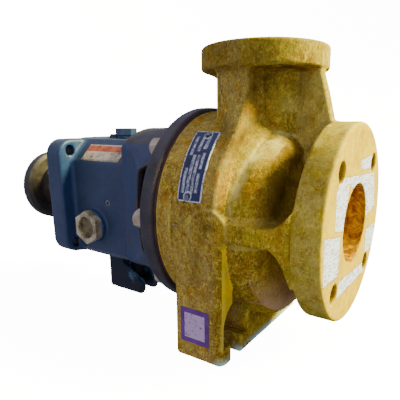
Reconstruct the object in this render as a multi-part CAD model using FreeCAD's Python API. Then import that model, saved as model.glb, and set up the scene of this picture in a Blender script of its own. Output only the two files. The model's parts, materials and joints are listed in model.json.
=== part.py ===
import FreeCAD, Part
import math
import os

# End-suction process pump with a moulded casing, a frame adapter and a bearing frame.
# Millimetres, +Z up, +X towards the suction flange. The origin is on the base plane,
# midway between the two casing foot bolts and right under the discharge centre line.

Vec = FreeCAD.Vector

# Standard envelope
SHAFT_HEIGHT = 133.35
SUCTION_REACH = 101.6
DISCHARGE_RISE = 165.1
PUMP_LENGTH = 444.5
FOOT_BOLT_SPACING = 152.4
FRAME_FOOT_REACH = 184.15

# Clearances
SNUG = 0.05
SLIDING_FIT = 0.08
BODY_GAP = 0.3
BOLT_CLEARANCE = 0.35
ADJUST_GAP = 0.6
PUMPING_GAP = 0.9
BALL_GAP = 0.12

# Suction flange
SUCTION_FLANGE_RADIUS = 95.25
SUCTION_FLANGE_THICK = 27.0
SUCTION_BORE_RADIUS = 38.1
SUCTION_BOLT_CIRCLE = 76.2
SUCTION_HOLE_RADIUS = 9.5
SUCTION_NECK_RADIUS = 50.0

# Discharge flange and neck
DISCHARGE_FLANGE_RADIUS = 63.5
DISCHARGE_FLANGE_THICK = 22.0
DISCHARGE_BORE_RADIUS = 19.05
DISCHARGE_BOLT_CIRCLE = 49.2
DISCHARGE_HOLE_RADIUS = 8.0
FLANGE_BOLTS = 4
FLANGE_EDGE_ROUND = 3.0
NECK_HALF_WIDTH = 50.0
NECK_BACK_X = -25.0
NECK_FLANK_RADIUS = 35.0
NOZZLE_RADIUS = 23.0
NOZZLE_CENTRE_X = 14.0
NOZZLE_PASSAGE_WIDER = 1.5
HORN_RADIUS = 24.0
HORN_SPREAD = 52.0
HORN_LOW_RISE = 38.0
HORN_HIGH_RISE = 66.0
NOZZLE_BORE_LENGTH = 66.0
WEB_THICK = 14.0
WEB_TOP_REACH = 62.0
BACK_WEB_REACH = 58.0
BACK_WEB_DROP = 22.0

# Joint ring, and what is set in from it
RING_RADIUS = 110.0
DRUM_SETBACK = 4.0
GASKET_SETBACK = 0.5
PANEL_SETBACK = 3.0
RIB_SETBACK = 4.5
STUD_INSET = 12.0
HOOD_INSET = 22.0
COVER_LEDGE = 6.0
CHAMBER_STEP = 3.0
IMPELLER_TIP_GAP = 3.0
BULGE_INSET = 35.0
CHANNEL_INSET = 28.0

# Drum and volute bulge
DRUM_BACK_X = -58.0
DRUM_FRONT_X = 9.0
RIDGE_ROUND = 8.0
BULGE_CENTRE_X = 23.0
BULGE_TUBE_RADIUS = 25.0
BULGE_SHIFT_Y = -1.0
BULGE_SHIFT_Z = -10.0
THROAT_FLARE = 9.0
CHANNEL_CENTRE_X = 3.0
CHANNEL_TUBE_RADIUS = 13.0
CHANNEL_WALL = 6.0
CHANNEL_SHIFT = -3.0

# Casing feet, bosses and side ribs
FOOT_BACK_X = -41.0
FOOT_FRONT_X = 16.0
FOOT_INNER_Y = 46.0
FOOT_BASE_THICK = 19.0
FOOT_BASE_EDGE = 25.0
FOOT_CORNER_ROUND = 7.0
POCKET_HALF_WIDTH = 21.0
POCKET_HEIGHT = 43.0
POCKET_DEPTH = 36.0
FOOT_SLOT_HALF_WIDTH = 9.5
SIDE_BOSS_RADIUS = 20.0
SIDE_BOSS_PROUD = 1.5
BOSS_PLUG_RADIUS = 7.0
BOSS_PLUG_LENGTH = 9.0
BOSS_DIMPLE_DEPTH = 0.6
RIB_HALF_HEIGHT = 8.5
RIB_INNER_Y = 40.0
RIB_FLARE = 16.0

# Casing joint and rear cover
GASKET_THICK = 3.0
COVER_FLANGE_THICK = 9.0
COVER_WALL = 17.5
THROAT_STEP = 4.0
COVER_SKIRT = 8.0
SEAL_CHAMBER_RADIUS = 30.0
SEAL_CHAMBER_WALL = 22.0
SEAL_CHAMBER_DEPTH = 62.0
THROAT_CLEARANCE = 1.0
CASING_STUDS = 8
CASING_STUD_RADIUS = 4.76
CASING_STUD_BITE = 24.0
CASING_NUT_FLATS = 17.5
CASING_NUT_THICK = 10.5
CASING_WASHER_RADIUS = 9.2
WASHER_THICK = 1.5
STUD_TAIL = 4.0

# Impeller
IMPELLER_BACK_X = -8.0
SHROUD_THICK = 4.5
VANE_TIP_WIDTH = 17.5
VANE_EYE_WIDTH = 31.0
EYE_RADIUS = 38.0
VANES = 6
VANE_THICK = 4.5
VANE_CURVE_RADIUS = 45.0
VANE_CURVE_SHIFT = 49.0
PUMP_OUT_VANE_DEPTH = 3.0
PUMP_OUT_VANE_THICK = 4.0
IMPELLER_HUB_RADIUS = 17.5
IMPELLER_HUB_LENGTH = 12.0
IMPELLER_NOSE_LENGTH = 24.0
IMPELLER_RING_WIDTH = 2.0

# Shaft and sleeve
SHAFT_END_RADIUS = 11.1
IMPELLER_SPIGOT_RADIUS = 11.0
SLEEVE_SEAT_RADIUS = 14.3
SLEEVE_LENGTH = 98.0
SEAL_RUN_RADIUS = 17.0
MID_SHAFT_RADIUS = 21.0
LOCK_THREAD_RADIUS = 14.4
OUTBOARD_RUN_RADIUS = 13.5
COUPLING_SEAT_LENGTH = 50.0
KEY_WIDTH = 4.76
KEY_HEIGHT = 4.76
KEY_LENGTH = 20.0

# Gland and mechanical seal
GLAND_THICK = 12.0
GLAND_STUDS = 4
GLAND_STUD_CIRCLE = 41.5
GLAND_STUD_RADIUS = 4.0
GLAND_STUD_BITE = 16.0
GLAND_NUT_FLATS = 12.7
GLAND_NUT_THICK = 7.0
GLAND_BORE_CLEARANCE = 1.5
SEAT_OUTER_RADIUS = 24.5
SEAT_LENGTH = 11.0
SEAT_PROUD = 4.0
SEAT_RING_SECTION = 1.6
FACE_RING_RADIUS = 23.5
FACE_RING_LENGTH = 8.0
BELLOWS_FOLDS = 4
BELLOWS_LENGTH = 22.0
BELLOWS_DEPTH = 4.0
RETAINER_RADIUS = 26.5
RETAINER_LENGTH = 8.0
RETAINER_SCREW_RADIUS = 2.0

# Frame adapter
RING_THICK = 15.0
RING_EDGE_ROUND = 2.0
RING_BORE_RADIUS = 70.0
ADAPTER_LENGTH = 91.0
ADAPTER_WALL = 8.0
ADAPTER_REAR_WALL = 12.0
ADAPTER_WAIST_HALF = 56.0
WINDOW_HALF_HEIGHT = 50.0
WINDOW_LENGTH = 45.0
ADAPTER_BOLT_Y = 36.0
ADAPTER_BOLT_Z = 48.0
ADAPTER_BOLT_RADIUS = 5.0
ADAPTER_BOLT_BITE = 20.0
ADAPTER_BOLT_FLATS = 14.0
ADAPTER_BOLT_HEAD = 6.5

# Bearing frame
FRAME_SPIGOT_RADIUS = 45.0
FRAME_SPIGOT_LENGTH = 6.0
FRAME_BODY_LENGTH = 90.0
FRAME_HALF_WIDTH = 55.0
FRAME_CHAMFER = 27.0
FRAME_LOWER_CHAMFER = 6.5
FRAME_WALL = 8.0
FRAME_FLOOR_WALL = 12.5
FRAME_FRONT_WALL = 34.0
FRAME_REAR_WALL = 6.0
PLATE_THICK = 27.0
PLATE_HALF = 73.8
PLATE_CORNER_ROUND = 20.0
PLATE_HOLE_Y = 57.0
PLATE_HOLE_Z = 60.0
PLATE_HOLE_RADIUS = 6.5
OIL_HOLE_X = -199.0
FILL_PLUG_RADIUS = 9.5
FILL_COLLAR_HEIGHT = 4.0
FILL_HEAD_FLATS = 24.0
FILL_HEAD_HEIGHT = 9.0
FILL_HEAD_TURN = 12.0
TOP_LUG_LENGTH = 13.0
TOP_LUG_HEIGHT = 5.5
TOP_LUG_HALF_WIDTH = 5.0
DRAIN_PLUG_Y = 30.0
DRAIN_PLUG_RADIUS = 6.0
DRAIN_HEAD_FLATS = 16.0
DRAIN_HEAD_HEIGHT = 6.0
PIPE_PLUG_RADIUS = 4.0
PIPE_PLUG_LENGTH = 5.0
PIPE_PLUG_RECESS = 1.0
PIPE_PLUG_DROPS = [(-182.2, 1.85), (-228.2, 63.35)]

# Sight glass
SIGHT_X = -204.7
SIGHT_DROP = 32.65
SIGHT_BOSS_RADIUS = 20.0
SIGHT_BOSS_HEIGHT = 7.0
SIGHT_BEZEL_FLATS = 37.0
SIGHT_BEZEL_HEIGHT = 10.0
SIGHT_NECK_RADIUS = 15.0
SIGHT_VIEW_RADIUS = 12.0
SIGHT_GLASS_RADIUS = 13.5
SIGHT_GLASS_THICK = 3.0
SIGHT_GLASS_DEPTH = 3.5
REFLECTOR_THICK = 1.0

# Frame foot
LEG_BEHIND_SLOT = 44.5
LEG_THICK = 21.0
LEG_HALF_WIDTH = 18.0
TOE_PAST_SLOT = 14.0
TOE_THICK = 14.0
TOE_NOSE = 3.0
FRAME_SLOT_HALF_WIDTH = 8.5
FRAME_WASHER_ROOM = 6.0
FRAME_FOOT_BOLT_Y = 9.0
FRAME_FOOT_BOLT_RADIUS = 4.9
FRAME_FOOT_HEAD_RADIUS = 7.5
FRAME_FOOT_HEAD_HEIGHT = 9.0
FRAME_FOOT_HEAD_RECESS = 11.0
FRAME_FOOT_BOLT_BITE = 10.0

# Inboard bearing, one row
INBOARD_BORE_RADIUS = 17.5
INBOARD_OUTER_RADIUS = 36.0
INBOARD_WIDTH = 17.0
INBOARD_BALL_RADIUS = 5.56
INBOARD_BALLS = 9

# Thrust bearing, two rows
THRUST_BORE_RADIUS = 15.0
THRUST_OUTER_RADIUS = 36.0
THRUST_WIDTH = 30.2
THRUST_BALL_RADIUS = 4.76
THRUST_BALLS = 12
THRUST_ROW_OFFSET = 6.8

# Both bearings
RACE_GROOVE_DEPTH = 1.3
CAGE_LAND = 1.5
CAGE_OVERHANG = 1.0

# Bearing cartridge and what it holds
CARTRIDGE_RADIUS = 45.0
CARTRIDGE_STANDOFF = 4.0
CARTRIDGE_FLANGE_THICK = 12.0
CARTRIDGE_FLANGE_RADIUS = 61.0
CARTRIDGE_LENGTH = 59.0
CARTRIDGE_END_WALL = 9.0
CARTRIDGE_SHOULDER_RADIUS = 30.0
CARTRIDGE_BOLT_CIRCLE = 53.0
CARTRIDGE_BOLTS = 3
CARTRIDGE_BOLT_RADIUS = 4.0
CARTRIDGE_BOLT_BITE = 18.0
CARTRIDGE_BOLT_FLATS = 13.0
CARTRIDGE_BOLT_HEAD = 6.0
JACK_NUT_THICK = 5.0
JACK_HEAD_GAP = 3.0
CARTRIDGE_RING_SECTION = 1.35
CARTRIDGE_RING_X = -251.0
LOCK_NUT_RADIUS = 24.0
LOCK_NUT_THICK = 9.0
LOCK_NUT_SLOTS = 4
LOCK_NUT_SLOT = 5.0
LOCK_NUT_ROOM = 4.0
LOCK_WASHER_THICK = 1.4
RETAINING_RING_THICK = 1.5
RETAINING_RING_DEPTH = 1.5
RETAINING_RING_INNER = 33.0
OUTBOARD_SEAL_RADIUS = 22.0
INBOARD_SEAL_RADIUS = 26.0
INBOARD_SEAL_LENGTH = 9.0
OIL_WALL_STEP = 2.0
FLINGER_RADIUS = 30.0
FLINGER_LENGTH = 8.0

# Coupling half
COUPLING_RADIUS = 50.8
COUPLING_RIM = 17.0
COUPLING_HUB_RADIUS = 32.0
COUPLING_HUB_LENGTH = 19.0
COUPLING_FACE_BEYOND_SHAFT = 23.0
COUPLING_RECESS_RADIUS = 36.0
COUPLING_RECESS_DEPTH = 14.0
COUPLING_TEETH = 24
COUPLING_TOOTH_DEPTH = 3.0
COUPLING_EDGE = 1.5
COUPLING_RIM_SLOPE = 5.0
SET_SCREW_RADIUS = 3.0

# Plates and labels
NAMEPLATE_BACK_X = -36.0
NAMEPLATE_WIDTH = 28.0
NAMEPLATE_LOW_ANGLE = 13.5
NAMEPLATE_HIGH_ANGLE = 53.0
NAMEPLATE_THICK = 0.8
NAMEPLATE_SCREW_RADIUS = 1.6
NAMEPLATE_SCREW_LENGTH = 7.0
NAMEPLATE_SCREW_HEAD = 2.6
NAMEPLATE_SCREW_INSET = 2.2
NAMEPLATE_HEAD_THICK = 1.2
LABEL_THICK = 0.4
FOOT_LABEL_BACK_X = -32.0
FOOT_LABEL_LENGTH = 33.0
FOOT_LABEL_BOTTOM = 18.0
FOOT_LABEL_HEIGHT = 36.0
FRAME_LABEL_BACK_X = -227.0
FRAME_LABEL_LENGTH = 66.0
FRAME_LABEL_WIDTH = 26.0
FRAME_LABEL_RISE = 2.0

# Sizes across, worked out from the joint ring
DRUM_RADIUS = RING_RADIUS - DRUM_SETBACK
GASKET_RADIUS = DRUM_RADIUS - GASKET_SETBACK
FOOT_HALF_WIDTH = DRUM_RADIUS - PANEL_SETBACK
RIB_OUTER_RADIUS = DRUM_RADIUS - RIB_SETBACK
CASING_STUD_CIRCLE = RING_RADIUS - STUD_INSET
HOOD_RADIUS = RING_RADIUS - HOOD_INSET
COVER_FLANGE_RADIUS = HOOD_RADIUS
COVER_SPIGOT_RADIUS = COVER_FLANGE_RADIUS - COVER_LEDGE
CHAMBER_RADIUS = COVER_SPIGOT_RADIUS - CHAMBER_STEP
IMPELLER_RADIUS = CHAMBER_RADIUS - IMPELLER_TIP_GAP
BULGE_RING_RADIUS = DRUM_RADIUS - BULGE_INSET
CHANNEL_RING_RADIUS = DRUM_RADIUS - CHANNEL_INSET
SIGHT_Z = SHAFT_HEIGHT - SIGHT_DROP
PIPE_PLUG_PLACES = [(x, SHAFT_HEIGHT - drop) for x, drop in PIPE_PLUG_DROPS]

# Places along the shaft line, worked out from the sizes above
SHAFT_LINE = (0.0, SHAFT_HEIGHT)
SUCTION_BACK_X = SUCTION_REACH - SUCTION_FLANGE_THICK
DISCHARGE_TOP = SHAFT_HEIGHT + DISCHARGE_RISE
NECK_TOP = DISCHARGE_TOP - DISCHARGE_FLANGE_THICK
SHAFT_END_X = SUCTION_REACH - PUMP_LENGTH
RING_FRONT_X = DRUM_BACK_X - GASKET_THICK
RING_BACK_X = RING_FRONT_X - RING_THICK
ADAPTER_BACK_X = RING_FRONT_X - ADAPTER_LENGTH
PLATE_FRONT_X = ADAPTER_BACK_X - FRAME_BODY_LENGTH
PLATE_BACK_X = PLATE_FRONT_X - PLATE_THICK
IMPELLER_FRONT_X = IMPELLER_BACK_X + SHROUD_THICK
COVER_FACE_X = IMPELLER_BACK_X - PUMP_OUT_VANE_DEPTH - PUMPING_GAP - ADJUST_GAP
CHAMBER_BACK_X = COVER_FACE_X + SNUG
COVER_BACK_X = RING_FRONT_X - COVER_FLANGE_THICK
HUB_BACK_X = IMPELLER_BACK_X - IMPELLER_HUB_LENGTH
THROAT_RADIUS = IMPELLER_HUB_RADIUS + THROAT_CLEARANCE
THROAT_BACK_X = COVER_FACE_X - COVER_WALL + THROAT_STEP
CHAMBER_MOUTH_X = THROAT_BACK_X - SEAL_CHAMBER_DEPTH
SEAL_CHAMBER_OUTER = SEAL_CHAMBER_RADIUS + SEAL_CHAMBER_WALL
GLAND_BACK_X = CHAMBER_MOUTH_X - GLAND_THICK
GLAND_BORE_RADIUS = IMPELLER_HUB_RADIUS + GLAND_BORE_CLEARANCE
SEAT_FRONT_X = CHAMBER_MOUTH_X + SEAT_PROUD
SEAT_BACK_X = SEAT_FRONT_X - SEAT_LENGTH
FACE_RING_BACK_X = SEAT_FRONT_X + ADJUST_GAP
FACE_RING_FRONT_X = FACE_RING_BACK_X + FACE_RING_LENGTH
BELLOWS_FRONT_X = FACE_RING_FRONT_X + BELLOWS_LENGTH
SLEEVE_BACK_X = HUB_BACK_X - SLEEVE_LENGTH
OIL_WALL_X = ADAPTER_BACK_X - INBOARD_SEAL_LENGTH - OIL_WALL_STEP
INBOARD_FRONT_X = OIL_WALL_X - ADJUST_GAP
INBOARD_BACK_X = INBOARD_FRONT_X - INBOARD_WIDTH
CARTRIDGE_FLANGE_X = PLATE_BACK_X - CARTRIDGE_STANDOFF
CARTRIDGE_BACK_X = CARTRIDGE_FLANGE_X - CARTRIDGE_FLANGE_THICK
CARTRIDGE_FRONT_X = CARTRIDGE_BACK_X + CARTRIDGE_LENGTH
END_WALL_X = CARTRIDGE_BACK_X + CARTRIDGE_END_WALL
THRUST_BACK_X = END_WALL_X + LOCK_NUT_THICK + LOCK_WASHER_THICK + LOCK_NUT_ROOM
THRUST_FRONT_X = THRUST_BACK_X + THRUST_WIDTH
COUPLING_FACE_X = SHAFT_END_X - COUPLING_FACE_BEYOND_SHAFT
COUPLING_RIM_X = COUPLING_FACE_X + COUPLING_RIM
COUPLING_FRONT_X = COUPLING_RIM_X + COUPLING_HUB_LENGTH
COUPLING_FLOOR_X = COUPLING_FACE_X + COUPLING_RECESS_DEPTH
FRAME_TOP = SHAFT_HEIGHT + PLATE_HALF
FRAME_BOTTOM = SHAFT_HEIGHT - PLATE_HALF
LEG_BACK_X = -FRAME_FOOT_REACH - LEG_BEHIND_SLOT
FOOT_TOE_X = -FRAME_FOOT_REACH + TOE_PAST_SLOT
FRAME_BORE_RADIUS = CARTRIDGE_RADIUS + SLIDING_FIT
FOOT_BOLT_Y = FOOT_BOLT_SPACING / 2

DIRECTIONS = {"x": Vec(1, 0, 0), "y": Vec(0, 1, 0), "z": Vec(0, 0, 1)}


def point_along(axis, along, centre):
    """Point at one distance along a row axis, beside it by the centre's two values."""
    first, second = centre
    if axis == "x":
        return Vec(along, first, second)
    if axis == "y":
        return Vec(first, along, second)
    return Vec(first, second, along)


def rod(axis, radius, start, end, centre=SHAFT_LINE):
    """Solid cylinder between two places on an axis."""
    base = point_along(axis, min(start, end), centre)
    return Part.makeCylinder(radius, abs(end - start), base, DIRECTIONS[axis])


def tube(axis, outer, inner, start, end, centre=SHAFT_LINE):
    """Hollow cylinder between two places on an axis."""
    return rod(axis, outer, start, end, centre).cut(rod(axis, inner, start, end, centre))


def hexagon(axis, flats, start, end, centre=SHAFT_LINE, turn=0.0):
    """Six-sided bar; a turn of 0 has a flat facing the first cross direction."""
    corner = flats / math.sqrt(3)
    low, high = min(start, end), max(start, end)
    points = []
    for step in range(6):
        angle = math.radians(turn + 30 + 60 * step)
        first = centre[0] + corner * math.cos(angle)
        second = centre[1] + corner * math.sin(angle)
        points.append(point_along(axis, low, (first, second)))
    return prism(points, DIRECTIONS[axis] * (high - low))


def prism(points, push):
    """Straight prism from a flat outline."""
    return Part.Face(Part.makePolygon(points + points[:1])).extrude(push)


def block(x_range, y_range, z_range):
    """Rectangular block from three low and high pairs."""
    low = Vec(x_range[0], y_range[0], z_range[0])
    lengths = [high - start for start, high in (x_range, y_range, z_range)]
    return Part.makeBox(lengths[0], lengths[1], lengths[2], low)


def turned(outline):
    """Solid turned about the shaft line from (x, radius) corners."""
    corners = [Vec(x, 0, SHAFT_HEIGHT + radius) for x, radius in outline]
    face = Part.Face(Part.makePolygon(corners + corners[:1]))
    return face.revolve(Vec(0, 0, SHAFT_HEIGHT), DIRECTIONS["x"], 360)


def shaft_torus(ring_radius, tube_radius, x, shift_y=0.0, shift_z=0.0):
    """Torus around the shaft line, or around a line shifted off it."""
    centre = Vec(x, shift_y, SHAFT_HEIGHT + shift_z)
    return Part.makeTorus(ring_radius, tube_radius, centre, DIRECTIONS["x"])


def around(count, radius, start_degrees=0.0):
    """Places (y, z, angle) spread evenly around the shaft line."""
    places = []
    for step in range(count):
        degrees = start_degrees + 360.0 * step / count
        angle = math.radians(degrees)
        places.append((radius * math.cos(angle), SHAFT_HEIGHT + radius * math.sin(angle), degrees))
    return places


def fused(solids):
    """One solid from several that overlap."""
    return solids[0].multiFuse(solids[1:]).removeSplitter()


def both_sides(solid):
    """A solid and its mirror image across the shaft's upright plane."""
    return [solid, solid.mirror(Vec(0, 0, 0), DIRECTIONS["y"])]


def rounded(solid, radius, wanted):
    """Solid with the wanted edges rounded."""
    return solid.makeFillet(radius, [edge for edge in solid.Edges if wanted(edge)])


def edge_lies_at(edge, axis, place):
    """Whether every end of an edge is at one place on an axis."""
    return all(abs(getattr(vertex.Point, axis) - place) < 1e-4 for vertex in edge.Vertexes)


def drum_and_neck():
    """Front part of the drum with the wide neck wall growing out of it in hollow flanks."""
    reach = DRUM_RADIUS + NECK_FLANK_RADIUS
    flank_y = NECK_HALF_WIDTH + NECK_FLANK_RADIUS
    flank_rise = math.sqrt(reach ** 2 - flank_y ** 2)
    lean = Vec(0, flank_y / reach, flank_rise / reach)
    shaft = Vec(NECK_BACK_X, 0, SHAFT_HEIGHT)
    flank_centre = shaft + Vec(0, flank_y, flank_rise)
    flank_top = flank_centre - Vec(0, NECK_FLANK_RADIUS, 0)
    on_drum = shaft + lean * DRUM_RADIUS
    halfway = ((flank_top - flank_centre) + (on_drum - flank_centre)).normalize()
    flank_middle = flank_centre + halfway * NECK_FLANK_RADIUS
    wall_top = Vec(NECK_BACK_X, NECK_HALF_WIDTH, NECK_TOP)

    def mirrored(point):
        return Vec(point.x, -point.y, point.z)

    outline = Part.Wire([
        Part.makeLine(wall_top, flank_top),
        Part.Arc(flank_top, flank_middle, on_drum).toShape(),
        Part.Arc(on_drum, shaft - Vec(0, 0, DRUM_RADIUS), mirrored(on_drum)).toShape(),
        Part.Arc(mirrored(on_drum), mirrored(flank_middle), mirrored(flank_top)).toShape(),
        Part.makeLine(mirrored(flank_top), mirrored(wall_top)),
        Part.makeLine(mirrored(wall_top), wall_top),
    ])
    slab = Part.Face(outline).extrude(Vec(DRUM_FRONT_X - NECK_BACK_X, 0, 0))

    def on_ridge(edge):
        at_front = edge_lies_at(edge, "x", DRUM_FRONT_X)
        return at_front and not edge_lies_at(edge, "z", NECK_TOP)

    return rounded(slab, RIDGE_ROUND, on_ridge)


def volute_bulge():
    """Ring-shaped swelling in front of the drum, filled up to the suction neck."""
    crest_x = BULGE_CENTRE_X + BULGE_TUBE_RADIUS
    ring = shaft_torus(BULGE_RING_RADIUS, BULGE_TUBE_RADIUS, BULGE_CENTRE_X, BULGE_SHIFT_Y, BULGE_SHIFT_Z)
    middle = rod("x", BULGE_RING_RADIUS, DRUM_FRONT_X - RIDGE_ROUND, crest_x,
                 (BULGE_SHIFT_Y, SHAFT_HEIGHT + BULGE_SHIFT_Z))
    throat = turned([
        (crest_x - 4, 0),
        (crest_x - 4, SUCTION_NECK_RADIUS + THROAT_FLARE),
        (crest_x + 10, SUCTION_NECK_RADIUS),
        (SUCTION_BACK_X, SUCTION_NECK_RADIUS + 6),
        (SUCTION_BACK_X + 1, 0),
    ])
    return [ring, middle, throat]


def volute_outlet():
    """Leaning horn from the volute's near flank to the upright nozzle under the flange."""
    low = Vec(BULGE_CENTRE_X, -HORN_SPREAD, SHAFT_HEIGHT + HORN_LOW_RISE)
    high = Vec(NOZZLE_CENTRE_X, 0, SHAFT_HEIGHT + HORN_HIGH_RISE)
    lean = high - low
    horn = Part.makeCone(HORN_RADIUS, NOZZLE_RADIUS, lean.Length, low, lean)
    nozzle = rod("z", NOZZLE_RADIUS, SHAFT_HEIGHT + BULGE_RING_RADIUS, NECK_TOP + 1, (NOZZLE_CENTRE_X, 0.0))
    return [horn, Part.makeSphere(HORN_RADIUS, low), nozzle]


def front_face():
    """Shallow cone that closes the hollow between the drum's ridge and the bulge."""
    wall_end = CHANNEL_CENTRE_X + CHANNEL_TUBE_RADIUS + CHANNEL_WALL
    return turned([
        (NECK_BACK_X, 0),
        (NECK_BACK_X, DRUM_RADIUS - RIDGE_ROUND),
        (DRUM_FRONT_X, DRUM_RADIUS - RIDGE_ROUND),
        (wall_end, DRUM_RADIUS - 2 * RIDGE_ROUND),
        (wall_end, 0),
    ])


def without_panel_space(solid):
    """Solid cut flat in the planes of the two foot panels."""
    far = DRUM_RADIUS + 5
    space = block((FOOT_BACK_X, FOOT_FRONT_X), (-far, -FOOT_HALF_WIDTH), (0, SHAFT_HEIGHT + DRUM_RADIUS))
    return solid.cut(both_sides(space))


def pipe_flanges():
    """Suction and discharge flanges with softened rims."""
    suction = rod("x", SUCTION_FLANGE_RADIUS, SUCTION_BACK_X, SUCTION_REACH)
    discharge = rod("z", DISCHARGE_FLANGE_RADIUS, NECK_TOP, DISCHARGE_TOP, (0.0, 0.0))
    return [
        rounded(suction, FLANGE_EDGE_ROUND, lambda edge: isinstance(edge.Curve, Part.Circle)),
        rounded(discharge, FLANGE_EDGE_ROUND, lambda edge: isinstance(edge.Curve, Part.Circle)),
    ]


def neck_webs():
    """Upright webs in the middle plane, from the neck to both flanges."""
    half = WEB_THICK / 2
    shoulder = SHAFT_HEIGHT + SUCTION_FLANGE_RADIUS
    front = [
        (0, NECK_TOP),
        (WEB_TOP_REACH - 4, NECK_TOP),
        (WEB_TOP_REACH, NECK_TOP - 4),
        (WEB_TOP_REACH + 6, NECK_TOP - 20),
        (SUCTION_BACK_X + 1, shoulder - 6),
        (SUCTION_BACK_X + 1, SHAFT_HEIGHT + 20),
        (0, SHAFT_HEIGHT + 20),
    ]
    drum_top = SHAFT_HEIGHT + DRUM_RADIUS - 2
    back = [
        (NECK_BACK_X + 2, NECK_TOP),
        (-BACK_WEB_REACH, NECK_TOP),
        (-BACK_WEB_REACH + 8, NECK_TOP - 9),
        (NECK_BACK_X - 20, NECK_TOP - BACK_WEB_DROP),
        (NECK_BACK_X - 18, drum_top),
        (NECK_BACK_X + 2, drum_top),
    ]
    webs = []
    for outline in (front, back):
        webs.append(prism([Vec(x, -half, z) for x, z in outline], Vec(0, WEB_THICK, 0)))
    return webs


def casing_foot():
    """One foot: leg, arched bolt pocket and a slot that opens towards the suction."""
    leg = block((FOOT_BACK_X, FOOT_FRONT_X), (-FOOT_HALF_WIDTH, -FOOT_INNER_Y), (0, SHAFT_HEIGHT))

    def softened(edge):
        outer = edge_lies_at(edge, "y", -FOOT_HALF_WIDTH)
        return outer and not edge_lies_at(edge, "z", SHAFT_HEIGHT)

    return rounded(leg, FOOT_CORNER_ROUND, softened)


def foot_pocket():
    """Space for one foot bolt: an arched pocket and the open slot below it."""
    arch_z = FOOT_BASE_THICK + POCKET_HEIGHT - POCKET_HALF_WIDTH
    back = FOOT_FRONT_X - POCKET_DEPTH
    arch = rod("x", POCKET_HALF_WIDTH, back, FOOT_FRONT_X + 1, (-FOOT_BOLT_Y, arch_z))
    low_y = -FOOT_BOLT_Y - POCKET_HALF_WIDTH
    high_y = -FOOT_BOLT_Y + POCKET_HALF_WIDTH
    floor = block((back, FOOT_FRONT_X + 1), (low_y, high_y), (FOOT_BASE_THICK, arch_z))
    slot_end = rod("z", FOOT_SLOT_HALF_WIDTH, -1, FOOT_BASE_THICK + 1, (0.0, -FOOT_BOLT_Y))
    slot = block((0, FOOT_FRONT_X + 1),
                 (-FOOT_BOLT_Y - FOOT_SLOT_HALF_WIDTH, -FOOT_BOLT_Y + FOOT_SLOT_HALF_WIDTH),
                 (-1, FOOT_BASE_THICK + 1))
    return fused([arch, floor, slot_end, slot])


def side_boss():
    """Round boss on the foot panel at shaft height."""
    face_y = -FOOT_HALF_WIDTH - SIDE_BOSS_PROUD
    return rod("y", SIDE_BOSS_RADIUS, face_y, -FOOT_INNER_Y, (0.0, SHAFT_HEIGHT))


def side_rib():
    """Level rib from the boss to the suction flange, flared where it meets the flange."""
    half = RIB_HALF_HEIGHT
    outline = [
        (0, -half),
        (SUCTION_BACK_X - RIB_FLARE, -half),
        (SUCTION_BACK_X - RIB_FLARE * 0.6, -half - RIB_FLARE * 0.3),
        (SUCTION_BACK_X - RIB_FLARE * 0.25, -half - RIB_FLARE * 0.9),
        (SUCTION_BACK_X + 1, -half - RIB_FLARE * 2.2),
        (SUCTION_BACK_X + 1, half + RIB_FLARE),
        (SUCTION_BACK_X - RIB_FLARE * 0.4, half + RIB_FLARE * 0.4),
        (SUCTION_BACK_X - RIB_FLARE, half),
        (0, half),
    ]
    corners = [Vec(x, -FOOT_HALF_WIDTH, SHAFT_HEIGHT + z) for x, z in outline]
    bar = prism(corners, Vec(0, FOOT_HALF_WIDTH - RIB_INNER_Y, 0))
    return bar.common(rod("x", RIB_OUTER_RADIUS, -1, SUCTION_REACH))


def flow_passages():
    """Everything that the liquid fills inside the casing."""
    chamber_front = IMPELLER_FRONT_X + VANE_TIP_WIDTH + PUMPING_GAP
    eye_front = IMPELLER_FRONT_X + VANE_EYE_WIDTH + PUMPING_GAP
    chamber = turned([
        (SUCTION_REACH + 1, 0),
        (SUCTION_REACH + 1, SUCTION_BORE_RADIUS),
        (eye_front, SUCTION_BORE_RADIUS),
        (chamber_front, CHAMBER_RADIUS),
        (CHAMBER_BACK_X, CHAMBER_RADIUS),
        (CHAMBER_BACK_X, 0),
    ])
    cover_bore = rod("x", COVER_SPIGOT_RADIUS + SNUG, DRUM_BACK_X - 1, CHAMBER_BACK_X)
    channel = shaft_torus(CHANNEL_RING_RADIUS, CHANNEL_TUBE_RADIUS, CHANNEL_CENTRE_X,
                          CHANNEL_SHIFT, CHANNEL_SHIFT)
    bore_end = DISCHARGE_TOP - NOZZLE_BORE_LENGTH
    bore = rod("z", DISCHARGE_BORE_RADIUS, bore_end, DISCHARGE_TOP + 1, (0.0, 0.0))
    passage = rod("z", DISCHARGE_BORE_RADIUS + NOZZLE_PASSAGE_WIDER,
                  SHAFT_HEIGHT + IMPELLER_RADIUS, bore_end, (0.0, 0.0))
    return [chamber, cover_bore, channel, bore, passage]


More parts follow.
